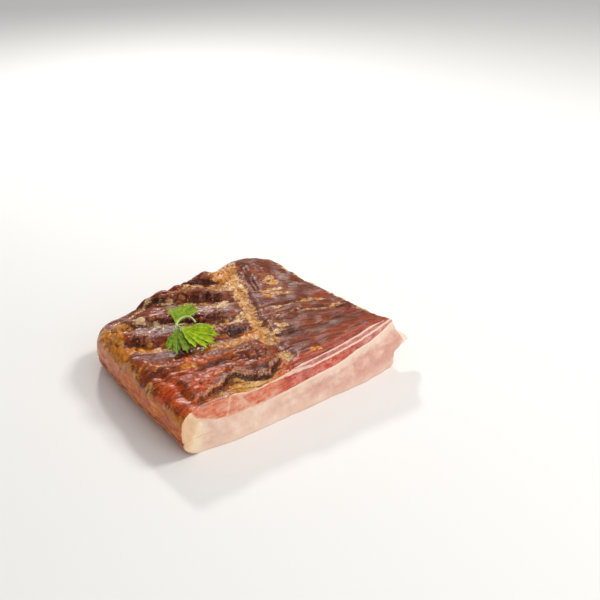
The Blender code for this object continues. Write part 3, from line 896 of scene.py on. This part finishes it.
def with_sides(finish, on, surface):
    """Adds the orange flank, the skin and painted shade along the crease above it. Also gives the share of
    skin.
    """
    strata = finish.noise(finish.vector(on.x * 0.16, on.y * 0.16, on.z), 1.8, 5.0, 0.65)
    flank = finish.tones(strata * 0.8 + on.clouds * 0.2, (0.36, 160, 56, 4), (0.46, 202, 84, 8),
                         (0.54, 224, 112, 24), (0.64, 244, 176, 92))
    surface = finish.mix(finish.stored("side") * finish.rise(on.x_cut, *FLANK_ALONG), surface, flank)
    above_skin = on.z - SKIN_CREASE_AT + on.clouds.spread(4.0) + strata.spread(1.2)
    is_skin = finish.rise(above_skin, 0.4, -0.8)
    skin = finish.tones(strata * 0.6 + on.grains * 0.4, (0.40, 136, 54, 8), (0.5, 194, 92, 16),
                        (0.6, 232, 150, 60))
    surface = finish.mix(is_skin, surface, skin)
    # Painted shade: dark lines along the crease above the skin and a little over it.
    crease = finish.mark(above_skin, 0.0, 1.1) + finish.mark(above_skin, 3.2, 0.9) * 0.6
    return finish.mix(crease * 0.85, surface, colour(78, 34, 14)), is_skin


def smoked_finish():
    """Smoked meat and fat: the upper side, the trimmed sides and the skin."""
    finish = Finish("smoked_meat", Specular_IOR_Level=0.36, Subsurface_Radius=(1.0, 0.4, 0.2),
                    Subsurface_Scale=0.8 * MM, Subsurface_Weight=0.06)
    on = smoked_fields(finish)
    depth = finish.stored("fat") + on.patches.spread(11.0) + on.fibres.spread(6.0)
    film = finish.rise(depth, -3.0, 0.2) * finish.rise(on.bands * 0.5 + on.fibres * 0.5, 0.46, 0.56) * 0.6
    surface = finish.mix(film, smoked_lean(finish, on), colour(150, 88, 46))
    surface = finish.mix(finish.rise(depth, -0.6, 0.9), surface, smoked_fat(finish, on))
    surface = finish.mix(finish.stored("ledge"), surface, smoked_ledge(finish, on))
    surface, is_skin = with_sides(finish, on, with_painted_light_and_fat_bits(finish, on, surface))
    finish.set("Base Color", finish.mix(finish.stored("cream"), surface, colour(246, 224, 204)))

    gloss = finish.rise(on.patches * 0.5 + on.bands * 0.5, 0.42, 0.56) * (0.24 - on.dull * 0.16)
    finish.set("Roughness", 0.42 - gloss + on.grains.spread(0.4) + is_skin * 0.1)
    cell = finish.node("ShaderNodeTexVoronoi", {"feature": "SMOOTH_F1"},
                       {"Vector": on.strands.stretched(2.6, 1.0, 1.0), "Scale": 1.0 / 2.2, "Smoothness": 0.3})
    bumps = finish.bump((1.0 - cell) * on.pebble, 0.7, 0.6, finish.bump(on.fibres, 0.5, 0.5))
    finish.set("Normal", finish.bump(on.grains * 0.4 + on.patches * (0.6 - on.dull * 0.42), 0.9, 0.42, bumps))
    return finish.material


def cut_fields(finish):
    """The places, noises and borders that the colours of the cut face have in common."""
    place = finish.millimetres()
    x, y, z = finish.parts(place)
    sunk = y - CORNER[1]
    height = z + sunk * LAYER_SLANT_DOWN
    on = SimpleNamespace(place=place, x=x, z=z, height=height, x_cut=x - CORNER[0] - sunk * LAYER_SLANT_ALONG)
    lying = finish.vector(x * 0.14 + z * 0.05, height - x * 0.05, 0.0)
    on.layers = finish.noise(lying, 1.2, 6.0, 0.62)
    on.soft_layers = finish.noise(lying, 2.6, 2.0, 0.5)
    on.clouds = finish.noise(place, 13.0, 3.0, 0.5)
    on.grains = finish.noise(place, 0.9, 4.0, 0.65)
    on.blotches = finish.noise(place, 4.5, 4.0, 0.6)
    on.shade = on.layers * 0.25 + on.blotches * 0.3 + on.clouds * 0.25 + on.grains * 0.2
    on.right = finish.rise(on.x_cut, *RIGHT_OF_CUT)
    on.level = height + on.layers.spread(5.0 - on.right * 3.6) + on.blotches.spread(4.0 - on.right * 2.4)
    on.above_foot = on.level - finish.read(on.x_cut, LEAN_FOOT)
    on.below_head = finish.read(on.x_cut, LEAN_HEAD) - on.level
    return on


def cut_fat(finish, on):
    """Fat on the cut: warm to pink along it, cream at its left end, blushing, paler below and by the lean, with
    painted shade of its folds.
    """
    # Soft vertical bands of lighter and darker fat: painted shade of the cut's soft folds.
    folds = finish.noise(finish.vector(on.x + on.z * 0.5, on.z * 0.5, 0.0), 11.0, 2.0, 0.5)
    blend = on.clouds * 0.45 + folds * 0.35 + on.blotches * 0.2
    warm = finish.tones(blend, (0.36, 220, 178, 158), (0.5, 234, 202, 182), (0.62, 243, 222, 206))
    pink = finish.tones(blend, (0.36, 204, 152, 134), (0.5, 224, 180, 162), (0.64, 240, 210, 194))
    cream = finish.tones(blend, (0.36, 226, 186, 140), (0.5, 240, 210, 172), (0.62, 247, 228, 196))
    fat = finish.mix(finish.rise(on.x_cut + on.blotches.spread(90.0), 60.0, 200.0), warm, pink)
    fat = finish.mix(finish.rise(on.x_cut - on.blotches.spread(26.0), 22.0, 4.0), fat, cream)
    flow = finish.noise(finish.vector(on.x * 0.6, on.height, on.x * 0.2), 10.0, 3.0, 0.55)
    blush = finish.rise(flow, 0.42, 0.64) * (0.22 + finish.rise(on.x_cut, 90.0, 170.0) * 0.58)
    fat = finish.mix(blush, fat, colour(214, 154, 140))
    smooth_level = on.height - finish.read(on.x_cut, LEAN_FOOT)
    by_lean = finish.rise(smooth_level + on.blotches.spread(14.0), -12.0, -4.0)
    fat = finish.mix(by_lean * finish.rise(on.x_cut, 100.0, 150.0) * 0.8, fat, colour(242, 218, 200))
    dull = finish.mark(smooth_level + on.soft_layers.spread(8.0), -11.0, 4.0) * on.right
    fat = finish.mix(dull * finish.rise(on.x_cut, 170.0, 140.0) * 0.3, fat, colour(200, 154, 142))
    low = finish.rise(on.z - on.blotches.spread(10.0), 13.0, 3.0)
    return finish.mix(low * 0.5, fat, colour(240, 216, 198))


def cut_lean(finish, on, dusky):
    """Lean on the cut: salmon and orange at the left, then red and dusky, with pale blotches."""
    salmon = finish.tones(on.shade, (0.42, 198, 108, 76), (0.5, 214, 134, 106), (0.58, 234, 182, 160))
    orange = finish.tones(on.shade, (0.42, 196, 78, 44), (0.5, 214, 104, 70), (0.58, 226, 146, 118))
    red = finish.tones(on.shade, (0.42, 160, 44, 36), (0.5, 194, 82, 68), (0.58, 222, 142, 128))
    lean = finish.mix(finish.read(on.x_cut + on.blotches.spread(14.0), ORANGE_ALONG, 1.0), salmon, orange)
    lean = finish.mix(finish.rise(on.x_cut + on.blotches.spread(30.0), 84.0, 104.0), lean, red)
    lean = finish.mix(finish.rise(on.x_cut + on.blotches.spread(40.0), 158.0, 186.0), lean, dusky)
    tissue = finish.noise(on.place, 8.0, 3.0, 0.5) * 0.7 + on.soft_layers * 0.3
    return finish.mix(finish.rise(tissue, 0.42, 0.66) * (0.8 - on.right * 0.5), lean, colour(230, 178, 154))


def cut_membranes(finish, on):
    """The share of pale membrane: two slanting lines through the lean's left half."""
    above_middle = on.height - 30.0
    steep = finish.mark(on.x_cut - above_middle * 0.25 + on.clouds.spread(8.0), 38.0, 1.5)
    flat = finish.mark(on.x_cut + above_middle * 0.9 + on.clouds.spread(12.0), 56.0, 2.6)
    return (steep * 0.55 + flat * 0.45) * finish.rise(on.height, 18.0, 26.0) * (1.0 - on.right)


def cut_finish():
    """The cut face: pink and cream fat with stripes of lean whose borders are read from the layer tables."""
    finish = Finish("cut_meat", Specular_IOR_Level=0.35, Subsurface_Radius=(1.0, 0.5, 0.35),
                    Subsurface_Scale=1.2 * MM, Subsurface_Weight=0.12)
    on = cut_fields(finish)
    dusky = finish.tones(on.shade, (0.42, 158, 82, 74), (0.5, 190, 116, 106), (0.58, 222, 164, 152))
    softness = 1.1 - on.right * 0.75
    below_head = finish.rise(on.below_head / softness, -1.0, 1.0)
    is_lean = finish.rise(on.above_foot / softness, -1.0, 1.0) * below_head
    surface = finish.mix(is_lean, cut_fat(finish, on), cut_lean(finish, on, dusky))
    upper = finish.rise(on.level + on.blotches.spread(2.0) - finish.read(on.x_cut, UPPER_FOOT), -0.35, 0.35)
    upper = upper * finish.rise(finish.read(on.x_cut, UPPER_HEAD) - on.level, -0.35, 0.35)
    surface = finish.mix(upper, surface, dusky)
    rim = finish.rise(on.above_foot, -3.4, -1.2) * finish.rise(on.above_foot, 0.1, -0.6) * on.right
    surface = finish.mix(rim * 0.75, surface, colour(244, 222, 204))
    between = (1.0 - below_head) * (1.0 - upper) * finish.rise(on.x_cut, 60.0, 80.0)
    between = between * finish.rise(on.blotches, 0.3, 0.45)
    surface = finish.mix(between * 0.75, surface, colour(240, 206, 190))
    surface = finish.mix(cut_membranes(finish, on), surface, colour(240, 200, 172))
    crust = finish.rise(on.level - finish.read(on.x_cut, CRUST_FOOT), -0.4, 0.4)
    crust = crust * finish.rise(on.x_cut, 92.0, 102.0)
    crusted = finish.tones(on.shade, (0.42, 110, 44, 30), (0.5, 150, 72, 56), (0.58, 188, 116, 98))
    surface = finish.mix(crust, surface, crusted)
    old_cut = finish.mark(on.height + on.blotches.spread(5.0), 16.0, 0.5) * finish.rise(on.x_cut, 30.0, 16.0)
    surface = finish.mix(old_cut * 0.4, surface, colour(186, 128, 104))
    finish.set("Base Color", finish.tuned(surface, CUT_SATURATION, CUT_VALUE))
    finish.set("Roughness", 0.36 + on.grains.spread(0.5))
    finish.set("Normal", finish.bump(on.soft_layers * 0.6 + on.grains * 0.4, 0.5, 0.3))
    return finish.material


def fine_block(cells):
    """A unit cube from 0 to 1, cut into the given cells along x, y and z."""
    form = bmesh.new()
    bmesh.ops.create_cube(form, size=1.0)
    bmesh.ops.translate(form, vec=(0.5, 0.5, 0.5), verts=form.verts)
    for axis, count in enumerate(cells):
        runs = [edge for edge in form.edges if abs((edge.verts[0].co - edge.verts[1].co)[axis]) > 0.01]
        bmesh.ops.subdivide_edges(form, edges=runs, cuts=count - 1, use_grid_fill=True)
    return form


def make_slab():
    """The slab with its crags, and what its two materials read."""
    form = fine_block(FINE_CELLS)
    mesh = bpy.data.meshes.new("bacon")
    form.to_mesh(mesh)
    form.free()
    block = coordinates(mesh)
    points, plan = slab_surface(*block.T)
    low, high = (np.array(corner) / MM for corner in SOLID_BOX)
    shift = np.array([CORNER[0], CORNER[1], 0.0])
    margin = np.array([BOX_MARGIN, BOX_MARGIN, 0.0])
    points = np.clip(points, low - shift + margin, high - shift - margin)
    place_points(mesh, points)
    store_fields(mesh, points, plan)
    on_cut = block[:, 1] < 1e-6
    of_cut = [int(on_cut[list(face.vertices)].all()) for face in mesh.polygons]
    mesh.polygons.foreach_set("material_index", of_cut)
    leave_one_skin_face(mesh)
    mesh.materials.append(smoked_finish())
    mesh.materials.append(cut_finish())
    mesh.shade_smooth()
    return add_object("bacon", mesh)


def store_fields(mesh, points, plan):
    """The fields of fat, tints, pebbles and hollows over the slab, which its material reads."""
    x, y = plan.T
    z = points[:, 2]
    share = z / (thickness(x, y) + relief(x, y))
    down = 1.0 - smooth(0.62, 0.86, share)
    fat, gold = fat_on_top(x, y)
    level = full_relief(x, y)
    ways = [(math.cos(turn), math.sin(turn)) for turn in np.arange(8) * math.pi / 4.0]
    around = [full_relief(x + HOLLOW_REACH * along_x, y + HOLLOW_REACH * along_y) for along_x, along_y in ways]
    hollow = np.mean(around, axis=0) - level
    facing = facings(mesh)
    towards_cut = -TOWARDS_CUT[0] * facing[:, 0] - TOWARDS_CUT[1] * facing[:, 1]
    inland = smooth(2.0, 6.0, y) * (1.0 - down)
    # Slopes that face the cut: painted shade, stored together with the char.
    front = smooth(0.22, 0.6, towards_cut) * inland * smooth(4.0, 22.0, x)
    behind = behind_step(x, y)
    # The wall below the step's lip, which gets painted shade.
    wall = smooth(0.3, 0.55, towards_cut) * between(behind, (-2.6, -1.2), (-0.9, -0.1)) * step_reach(x)
    # Char spots, darker where the slope faces the cut: char and painted shade.
    char_spots_and_shade = 0.9 * tint(x, y, CHAR_SPOTS) * (0.35 + 0.65 * smooth(0.0, 0.5, towards_cut))
    char = np.maximum(char_spots_and_shade, 0.55 * front)
    _, strength, number = pebbled(x, y)
    ledge = (1.0 - smooth(-1.4, -0.2, behind)) * between(x, (11.0, 16.0), (98.0, 108.0))
    store(mesh, "fat", np.maximum(fat, -3.0 + 6.0 * down))
    store(mesh, "gold", gold * (1.0 - down) + 0.85 * down)
    store(mesh, "red", tint(x, y, RED_SPOTS))
    # Painted sheen, strongest where the surface faces up rather than towards the cut.
    store(mesh, "grey", tint(x, y, PAINTED_SHEEN_SPOTS) * smooth(-0.1, 0.5, facing[:, 2] - towards_cut))
    store(mesh, "char", char * (1.0 - down))
    store(mesh, "wall", wall * (1.0 - down))
    off_flap = oval_distance(y, z + 3.0, FLAP_AT, FLAP_SIZE)
    store(mesh, "cream", smooth(212.0, 219.0, x) * smooth(2.3, 1.3, off_flap))
    # How far each place lies below its surroundings, for painted shade in hollows and a painted highlight on
    # crests.
    store(mesh, "hollow", hollow * (1.0 - down))
    store(mesh, "pebble", strength * (1.0 - down))
    store(mesh, "number", number)
    store(mesh, "ledge", ledge * (1.0 - down))
    store(mesh, "side", down)
    lip = between(behind, (-0.8, 0.8), (1.6, 4.6)) * step_reach(x)
    crumbs = smooth(0.0, 0.5, wander(x, y, 3.2, 81))
    lips_of_banks = 0.2 * front * crumbs * smooth(0.2, 0.7, strength) * (x < 130.0)
    store(mesh, "lip", lip * (1.0 - down))
    crest = between(behind, (0.3, 1.2), (1.8, 3.6)) * step_reach(x)
    store(mesh, "speck", np.clip(crest * (0.2 + crumbs) + lips_of_banks, 0.0, 1.0) * (1.0 - down))


def leave_one_skin_face(mesh):
    """Joins the flat faces of the skin into one."""
    form = bmesh.new()
    form.from_mesh(mesh)
    resting = [face for face in form.faces if all(vert.co.z < 0.01 * MM for vert in face.verts)]
    bmesh.ops.dissolve_faces(form, faces=resting)
    form.to_mesh(mesh)
    form.free()


def rim_reach(across, reach, lobes):
    """How far a leaflet's rim lies from its foot, for a share across the fan: lobes with three teeth."""
    turn = 2.0 * across - 1.0
    lobe = np.abs(np.sin(np.pi * across * lobes)) ** 0.7
    teeth = -np.cos(6.0 * np.pi * across * lobes)
    return reach * (1.0 - 0.26 * turn * turn) * (0.70 + 0.25 * lobe + 0.05 * teeth)


def leaflet_point(leaflet, across, out):
    """A place on a leaflet's middle sheet, for shares across and out along its fan."""
    foot, direction, reach, spread, lobes, _ = leaflet
    turn = 2.0 * across - 1.0
    radius = LEAF_FOOT + (rim_reach(across, reach, lobes) - LEAF_FOOT) * out
    angle = math.radians(direction) - turn * math.radians(spread) * (0.6 + 0.4 * out)
    x = foot[0] + radius * np.cos(angle)
    y = foot[1] + radius * np.sin(angle)
    folds = 0.5 * out * (1.0 + np.cos(2.0 * np.pi * across * lobes))
    wave = 1.2 * out * out * (1.0 + np.sin(4.0 * turn + direction))
    ripple = 0.18 * out * np.sin(9.0 * np.pi * across * lobes + 7.0 * out)
    return np.stack([x, y, leaf_height(x, y) + 0.2 + folds + wave + ripple], axis=-1)


def leaf_finish():
    """Fresh coriander leaf with pale veins, each leaflet painted between a shaded and a lit green."""
    finish = Finish("coriander_leaf", roughness=0.42, Specular_IOR_Level=0.1)
    place = finish.millimetres()
    mottle = finish.noise(place, 3.5, 4.0, 0.6)
    tiny = finish.noise(place, 0.7, 3.0, 0.6)
    # A painted shaded green and a painted lit green, mixed by each leaflet's painted lightness.
    painted_shade = finish.ramp(mottle, [(0.36, colour(62, 88, 4)), (0.6, colour(108, 134, 20))])
    light = finish.ramp(mottle, [(0.36, colour(124, 156, 4)), (0.6, colour(172, 194, 26))])
    blade = finish.mix(finish.stored("bright") + (mottle - 0.5) * 0.4, painted_shade, light)
    blade = finish.mix(finish.stored("vein") * 0.28, blade, colour(176, 204, 90))
    finish.set("Base Color", blade)
    finish.set("Roughness", 0.36 + tiny * 0.25)
    finish.set("Normal", finish.bump(tiny * 0.6 + finish.stored("vein") * 0.8, 0.2, 0.6))
    return finish.material


def stalk_finish():
    """Pale green stalks."""
    finish = Finish("coriander_stalk", roughness=0.4)
    place = finish.millimetres()
    mottle = finish.noise(place, 2.0, 3.0, 0.5)
    finish.set("Base Color", finish.ramp(mottle, [(0.35, colour(150, 182, 70)), (0.65, colour(214, 228, 150))]))
    finish.set("Normal", finish.bump(finish.noise(place, 0.5, 2.0), 0.1, 0.5))
    return finish.material


def speck_finish():
    """Bits of fat on the crags."""
    finish = Finish("fat_bits", roughness=0.25, Coat_Weight=0.5, Coat_Roughness=0.1)
    tone = finish.noise(finish.millimetres(), 1.5, 2.0)
    finish.set("Base Color", finish.ramp(tone, [(0.35, colour(170, 116, 82)), (0.65, colour(232, 198, 158))]))
    return finish.material


def make_leaves():
    """All leaflets as one mesh of thin closed sheets."""
    form = bmesh.new()
    across_count, out_count = LEAF_CELLS
    places, bright, vein = [], [], []
    for leaflet in LEAFLETS:
        *_, lobes, painted_lightness = leaflet
        sheet = bmesh.ops.create_grid(form, x_segments=lobes * across_count, y_segments=out_count, size=0.5)
        spots = np.array([vert.co for vert in sheet["verts"]]) + 0.5
        across, out = spots[:, 0], spots[:, 1]
        places.append(leaflet_point(leaflet, across, out))
        rib = np.abs((across * lobes) % 1.0 - 0.5) * 2.0 * (0.4 + out)
        side_rib = np.abs(((out * 6.0 - rib * 2.2) % 1.0) - 0.5)
        vein.append(np.maximum(1.0 - smooth(0.0, 0.16, rib), 0.6 * (1.0 - smooth(0.0, 0.16, side_rib))))
        bright.append(np.full(len(across), painted_lightness))
    mesh = bpy.data.meshes.new("coriander_leaves")
    form.to_mesh(mesh)
    form.free()
    place_points(mesh, np.concatenate(places))
    store(mesh, "bright", np.concatenate(bright))
    store(mesh, "vein", np.concatenate(vein))
    form = bmesh.new()
    form.from_mesh(mesh)
    bmesh.ops.recalc_face_normals(form, faces=form.faces)
    form.to_mesh(mesh)
    form.free()
    mesh.materials.append(leaf_finish())
    mesh.shade_smooth()
    leaves = add_object("coriander_leaves", mesh)
    wall = leaves.modifiers.new("thickness", "SOLIDIFY")
    wall.thickness = FINE_LEAF_THICKNESS * MM
    wall.offset = 0.0
    return leaves


class Tree:
    """A Geometry Nodes tree while it is made: node() adds any node and gives one of its outputs."""

    def __init__(self, name, **sizes):
        self.group = bpy.data.node_groups.new(name, "GeometryNodeTree")
        face = self.group.interface
        face.new_socket("Geometry", in_out="INPUT", socket_type="NodeSocketGeometry")
        for size, (kind, value) in sizes.items():
            socket = face.new_socket(size, in_out="INPUT", socket_type="NodeSocket" + kind)
            if value is not None:
                socket.default_value = value
        face.new_socket("Geometry", in_out="OUTPUT", socket_type="NodeSocketGeometry")
        self.given = self.group.nodes.new("NodeGroupInput").outputs

    def node(self, kind, settings=None, sockets=None, output=0):
        made = self.group.nodes.new(kind)
        for name, value in (settings or {}).items():
            setattr(made, name, value)
        for name, value in (sockets or {}).items():
            if isinstance(value, bpy.types.NodeSocket):
                self.group.links.new(value, made.inputs[name])
            else:
                made.inputs[name].default_value = value
        return made.outputs[output]

    def math(self, operation, first, second):
        return self.node("ShaderNodeMath", {"operation": operation}, {0: first, 1: second})

    def finish(self, geometry):
        whole = self.node("GeometryNodeRealizeInstances", None, {"Geometry": geometry})
        sockets = {"Geometry": whole, "Material": self.given["Finish"]}
        dressed = self.node("GeometryNodeSetMaterial", None, sockets)
        self.group.links.new(dressed, self.group.nodes.new("NodeGroupOutput").inputs[0])
        return self.group


def sweep_tree():
    """A round stalk along each edge line, thinner towards its end."""
    tree = Tree("sweep", Radius=("Float", 0.001), Taper=("Float", 0.5), Sides=("Int", 10),
                Finish=("Material", None))
    line = tree.node("GeometryNodeMeshToCurve", None, {"Mesh": tree.given["Geometry"]})
    soft = tree.node("GeometryNodeCurveSplineType", {"spline_type": "CATMULL_ROM"}, {"Curve": line})
    even = tree.node("GeometryNodeResampleCurve", None, {"Curve": soft, "Count": 28})
    share = tree.node("GeometryNodeSplineParameter", output="Factor")
    left = tree.math("SUBTRACT", 1.0, tree.math("MULTIPLY", share, tree.given["Taper"]))
    radius = tree.math("MULTIPLY", left, tree.given["Radius"])
    ring = tree.node("GeometryNodeCurvePrimitiveCircle", None,
                     {"Resolution": tree.given["Sides"], "Radius": 1.0})
    tube = tree.node("GeometryNodeCurveToMesh", None,
                     {"Curve": even, "Profile Curve": ring, "Scale": radius, "Fill Caps": True})
    return tree.finish(tube)


def speck_tree():
    """Small lumpy bits strewn over a surface, where its stored field allows."""
    tree = Tree("strew", Density=("Float", 1.0e5), Size=("Float", 0.0005), Seed=("Int", 7),
                Finish=("Material", None))
    field = tree.node("GeometryNodeInputNamedAttribute", {"data_type": "FLOAT"}, {"Name": "speck"}, "Attribute")
    dense = tree.math("MULTIPLY", field, tree.given["Density"])
    spots = tree.node("GeometryNodeDistributePointsOnFaces", {"distribute_method": "RANDOM"},
                      {"Mesh": tree.given["Geometry"], "Density": dense, "Seed": tree.given["Seed"]}, "Points")
    bit = tree.node("GeometryNodeMeshIcoSphere", None, {"Radius": 1.0, "Subdivisions": 2})
    turn = tree.node("FunctionNodeRandomValue", {"data_type": "FLOAT_VECTOR"},
                     {"Min": (0.0, 0.0, 0.0), "Max": (6.3, 6.3, 6.3), "Seed": 3})
    stretch = tree.node("FunctionNodeRandomValue", {"data_type": "FLOAT_VECTOR"},
                        {"Min": (0.3, 0.3, 0.2), "Max": (0.8, 0.7, 0.4), "Seed": 5})
    scale = tree.node("ShaderNodeVectorMath", {"operation": "SCALE"}, {0: stretch, "Scale": tree.given["Size"]})
    placed = tree.node("GeometryNodeInstanceOnPoints", None,
                       {"Points": spots, "Instance": bit, "Rotation": turn, "Scale": scale})
    return tree.finish(placed)


def add_object(name, data):
    """A new object in the scene, at the origin."""
    made = bpy.data.objects.new(name, data)
    bpy.context.scene.collection.objects.link(made)
    return made


def grown(name, mesh, group, finish, **sizes):
    """The plain mesh that a Geometry Nodes tree makes from a mesh."""
    guide = add_object(name + "_guide", mesh)
    modifier = guide.modifiers.new("grow", "NODES")
    modifier.node_group = group
    keys = {item.name: item.identifier for item in group.interface.items_tree if item.in_out == "INPUT"}
    for size, value in {**sizes, "Finish": finish}.items():
        modifier[keys[size]] = value
    graph = bpy.context.evaluated_depsgraph_get()
    made = bpy.data.meshes.new_from_object(guide.evaluated_get(graph))
    bpy.data.objects.remove(guide)
    made.name = name
    made.shade_smooth()
    return add_object(name, made)


def make_stalks():
    """The sprig's stalks, each swept along its bent line."""
    group, finish = sweep_tree(), stalk_finish()
    made = []
    for number, (line, lift, radius, taper) in enumerate(STALKS):
        route = []
        for step, (x, y) in enumerate(line):
            raised = lift * step / (len(line) - 1)
            route.append((x, y, float(leaf_height(np.array(x), np.array(y))) + STALK_CLEARANCE + raised))
        mesh = bpy.data.meshes.new("stalk_line")
        mesh.from_pydata([(0, 0, 0)] * len(route), [(i, i + 1) for i in range(len(route) - 1)], [])
        place_points(mesh, np.array(route))
        made.append(grown(f"coriander_stalk_{number}", mesh, group, finish, Radius=radius * MM, Taper=taper))
    return made


def make_camera():
    """The camera stands to the front left of the slab and looks down on it."""
    data = bpy.data.cameras.new("camera")
    data.sensor_width, data.lens = SENSOR, LENS
    camera = add_object("camera", data)
    camera.location = (CAMERA_PLACE[0] + CORNER[0] * MM, CAMERA_PLACE[1] + CORNER[1] * MM, CAMERA_PLACE[2])
    camera.rotation_euler = (math.radians(90.0 - CAMERA_DOWN), 0.0, -math.atan2(*CAMERA_HEADING))
    bpy.context.scene.camera = camera


def make_light(name, place, size, power, tint_of_light):
    """A square soft light aimed at the slab."""
    data = bpy.data.lights.new(name, "AREA")
    data.size, data.energy, data.color = size, power, tint_of_light
    lamp = add_object(name, data)
    lamp.location = place
    lamp.rotation_euler = (-lamp.location.normalized()).to_track_quat("-Z", "Y").to_euler()


def make_surrounding():
    """A pale surrounding, brighter overhead than near the floor."""
    world = bpy.data.worlds.new("studio")
    world.use_nodes = True
    nodes, links = world.node_tree.nodes, world.node_tree.links
    direction = nodes.new("ShaderNodeTexCoord")
    parts = nodes.new("ShaderNodeSeparateXYZ")
    level = nodes.new("ShaderNodeMapRange")
    level.interpolation_type = "SMOOTHSTEP"
    for socket, value in (("From Min", 0.35), ("From Max", 0.95), ("To Min", 0.22), ("To Max", 0.65)):
        level.inputs[socket].default_value = value
    links.new(direction.outputs["Generated"], parts.inputs[0])
    links.new(parts.outputs["Z"], level.inputs["Value"])
    links.new(level.outputs[0], nodes["Background"].inputs["Strength"])
    nodes["Background"].inputs["Color"].default_value = (1.0, 1.0, 1.0, 1.0)
    bpy.context.scene.world = world


def make_studio():
    """A pale floor, a pale surrounding and the soft lights."""
    bpy.ops.mesh.primitive_plane_add(size=FLOOR_SIZE)
    floor = bpy.context.object
    floor.name = "floor"
    paint = Finish("floor_paint", roughness=0.9)
    paint.set("Base Color", colour(244, 243, 241))
    floor.data.materials.append(paint.material)
    make_surrounding()
    for light in LIGHTS:
        make_light(*light)
    bpy.context.scene.view_settings.view_transform = "Standard"


def main():
    make_camera()
    make_studio()
    slab = make_slab()
    specks = grown("fat_bits", slab.data.copy(), speck_tree(), speck_finish(),
                   Density=BIT_DENSITY, Size=BIT_SIZE * MM)
    leaves = make_leaves()
    stalks = make_stalks()
    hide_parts("bacon_slab")
    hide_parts("coriander_sprig")
    for piece, slot in [(slab, "smoked_bacon"), (specks, "smoked_bacon"), (leaves, "coriander_leaf")]:
        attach(piece, BODY)
    for stalk in stalks:
        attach(stalk, BODY)


main()
